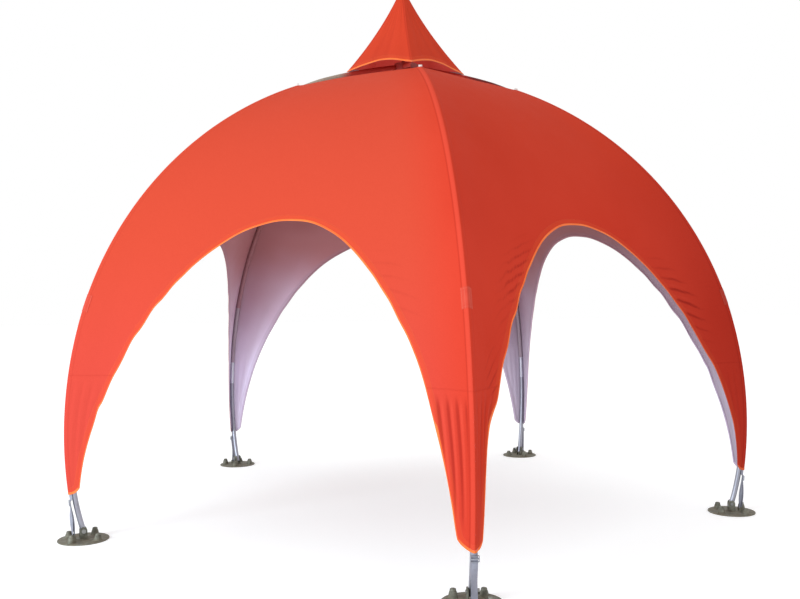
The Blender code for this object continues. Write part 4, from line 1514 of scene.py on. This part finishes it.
def twisted(row, part):
    """A row of the webbing turned a little about its own run, most between the bar and the buckle."""
    turned_by = STRAP_TWIST * math.sin(math.pi * min(part / 0.82, 1.0)) ** 1.3
    row[:, 0] -= math.sin(turned_by) * strap_across
    row[:, 1] = math.cos(turned_by) * strap_across
    return row


loop_start, loop_end = round_bar(170.0), round_bar(360.0)
flat_end = lap_point(FOLD_START, np.zeros(9))
flat_end[:, 1] = strap_across
tail_end = loop_end + (flat_end - loop_end) * TAIL_SHARE - TAIL_INSET

strap_rows = [
    twisted(loop_start + (tail_end - loop_start) * (part / TAIL_SHARE), part)
    for part in np.linspace(TAIL_SHARE, 0.04, 26)
]
strap_rows += [round_bar(degrees) for degrees in np.linspace(170.0, 360.0, 15)]
strap_rows += [twisted(loop_end + (flat_end - loop_end) * part, part) for part in np.linspace(0.04, 0.93, 28)]
strap_rows += [lap_point(up, strap_across) for up in np.linspace(FOLD_START + 0.006, LAP_TOP, 14)]
strap_points = np.array(strap_rows)
strap_run = lengths(strap_points[:, 4])
print("strap", round(float(strap_run[-1]), 3), "m long")

# %% [markdown]
# Webbing is woven in a herringbone with firmer borders. Two slanted waves that meet at the middle make it.

# %% Webbing and its finish
BONE_SPACING = 0.0032

webbing = Finish("grey_webbing", (0.29, 0.29, 0.35), 0.7, specular=0.25)
web_u, web_v = webbing.cloth_map("run")
bone = ((web_v + abs(web_u) * 0.8) * (2.0 * math.pi / BONE_SPACING)).sine()
border = abs(web_u).rise(0.0155, 0.0165)
web_cloud = webbing.noise(18.0, 3.0).rise(0.3, 0.7)
web_tone = webbing.coats(
    (0.27, 0.27, 0.33),
    (web_cloud, (0.33, 0.33, 0.40)),
    (bone.rise(-0.4, 0.6) * 0.25, (0.19, 0.19, 0.23)),
    (border * 0.3, (0.17, 0.17, 0.20)),
)
webbing.dress(web_tone, 0.65 + web_cloud * 0.1, (bone, 0.0002), (border, 0.0003))

strap = lofted("webbing_strap", strap_points, {"run": strip_map(strap_across, strap_run)})
above_buckle = float(flat_end[4, 2]) - 0.015
thicken(strap, lambda centres: np.array([1.0, 0.0, 0.2]) * (centres[:, 2:] > above_buckle), (webbing,),
        STRAP_THICKNESS, degrees=50.0)
round_the_tent(strap, ("strap",))

# %% [markdown]
# ## Buckles
# The buckle is a flat frame with a bar across its middle that the webbing is threaded over. A cube is
# flattened at its place, its front and back faces are inset and bridged for each opening, and the edges are
# bevelled.

# %% Buckle on each strap
BUCKLE_SIZE = (0.011, 0.052, 0.036)
RIM = 0.0032
BUCKLE_DROP = 0.027
BUCKLE_OUT = np.array([0.0022, 0.0, 0.0])

buckle = add(bpy.ops.mesh.primitive_cube_add, size=1.0, location=(0.0, 0.0, 0.0))
buckle.name = "strap_buckle"
buckle.scale = BUCKLE_SIZE
bpy.ops.object.transform_apply(location=False, rotation=False, scale=True)
with edit_mode():
    bpy.ops.mesh.select_mode(type="FACE")
    bpy.ops.mesh.select_all(action="SELECT")
    bpy.ops.mesh.bisect(plane_co=(0.0, 0.0, 0.0), plane_no=(0.0, 0.0, 1.0))
    bpy.ops.mesh.select_all(action="DESELECT")
for half in (-1.0, 1.0):
    for face in buckle.data.polygons:
        face.select = abs(face.normal.x) > 0.9 and face.area > 0.0003 and face.center.z * half > 0.002
    with edit_mode():
        bpy.ops.mesh.inset(thickness=RIM, depth=0.0, use_individual=True)
        bpy.ops.mesh.bridge_edge_loops()
print("buckle faces", len(buckle.data.polygons))

# %% Bevel, finish and copy the buckles
apply_modifier(buckle, "BEVEL", width=0.0009, segments=2, limit_method="ANGLE")
run_line = unit(flat_end[4] - loop_end[4])
buckle_centre = flat_end[4] - run_line * BUCKLE_DROP + BUCKLE_OUT
tilt = Matrix.Rotation(math.atan2(run_line[0], run_line[2]), 4, "Y")
buckle.data.transform(Matrix.Translation(buckle_centre) @ tilt)
buckle_metal = worn_metal("buckle_steel", (0.30, 0.31, 0.36), (0.40, 0.41, 0.46), (0.3, 0.28, 0.25), 0.3, 0.9)
cover(buckle, buckle_metal, 35.0)
round_the_tent(buckle)

# %% [markdown]
# ## Rivets on the collars
# Two rivets near each end fix the collar to the pole. One flattened ball is modelled and set at each place,
# and the four are joined to one piece for each rib.

# %% Rivets
RIVET_RADIUS = 0.0048
RIVET_INSET = 0.022
FLATTENED = Matrix.Diagonal((1.0, 0.45, 1.0, 1.0))

rivet_parts = []
for distance in (COLLAR_START + RIVET_INSET, COLLAR_END - RIVET_INSET):
    for side in (-1.0, 1.0):
        rivet = add(bpy.ops.mesh.primitive_uv_sphere_add, segments=16, ring_count=8, radius=RIVET_RADIUS)
        spot = Vector(pole_point(distance)[0]) + Vector((0.0, side * (COLLAR_RADIUS - 0.0002), 0.0))
        rivet.data.transform(Matrix.Translation(spot) @ FLATTENED)
        rivet_parts.append(rivet)
rivets = join(rivet_parts, "collar_rivets")
cover(rivets, pin_metal, 60.0)
round_the_tent(rivets)
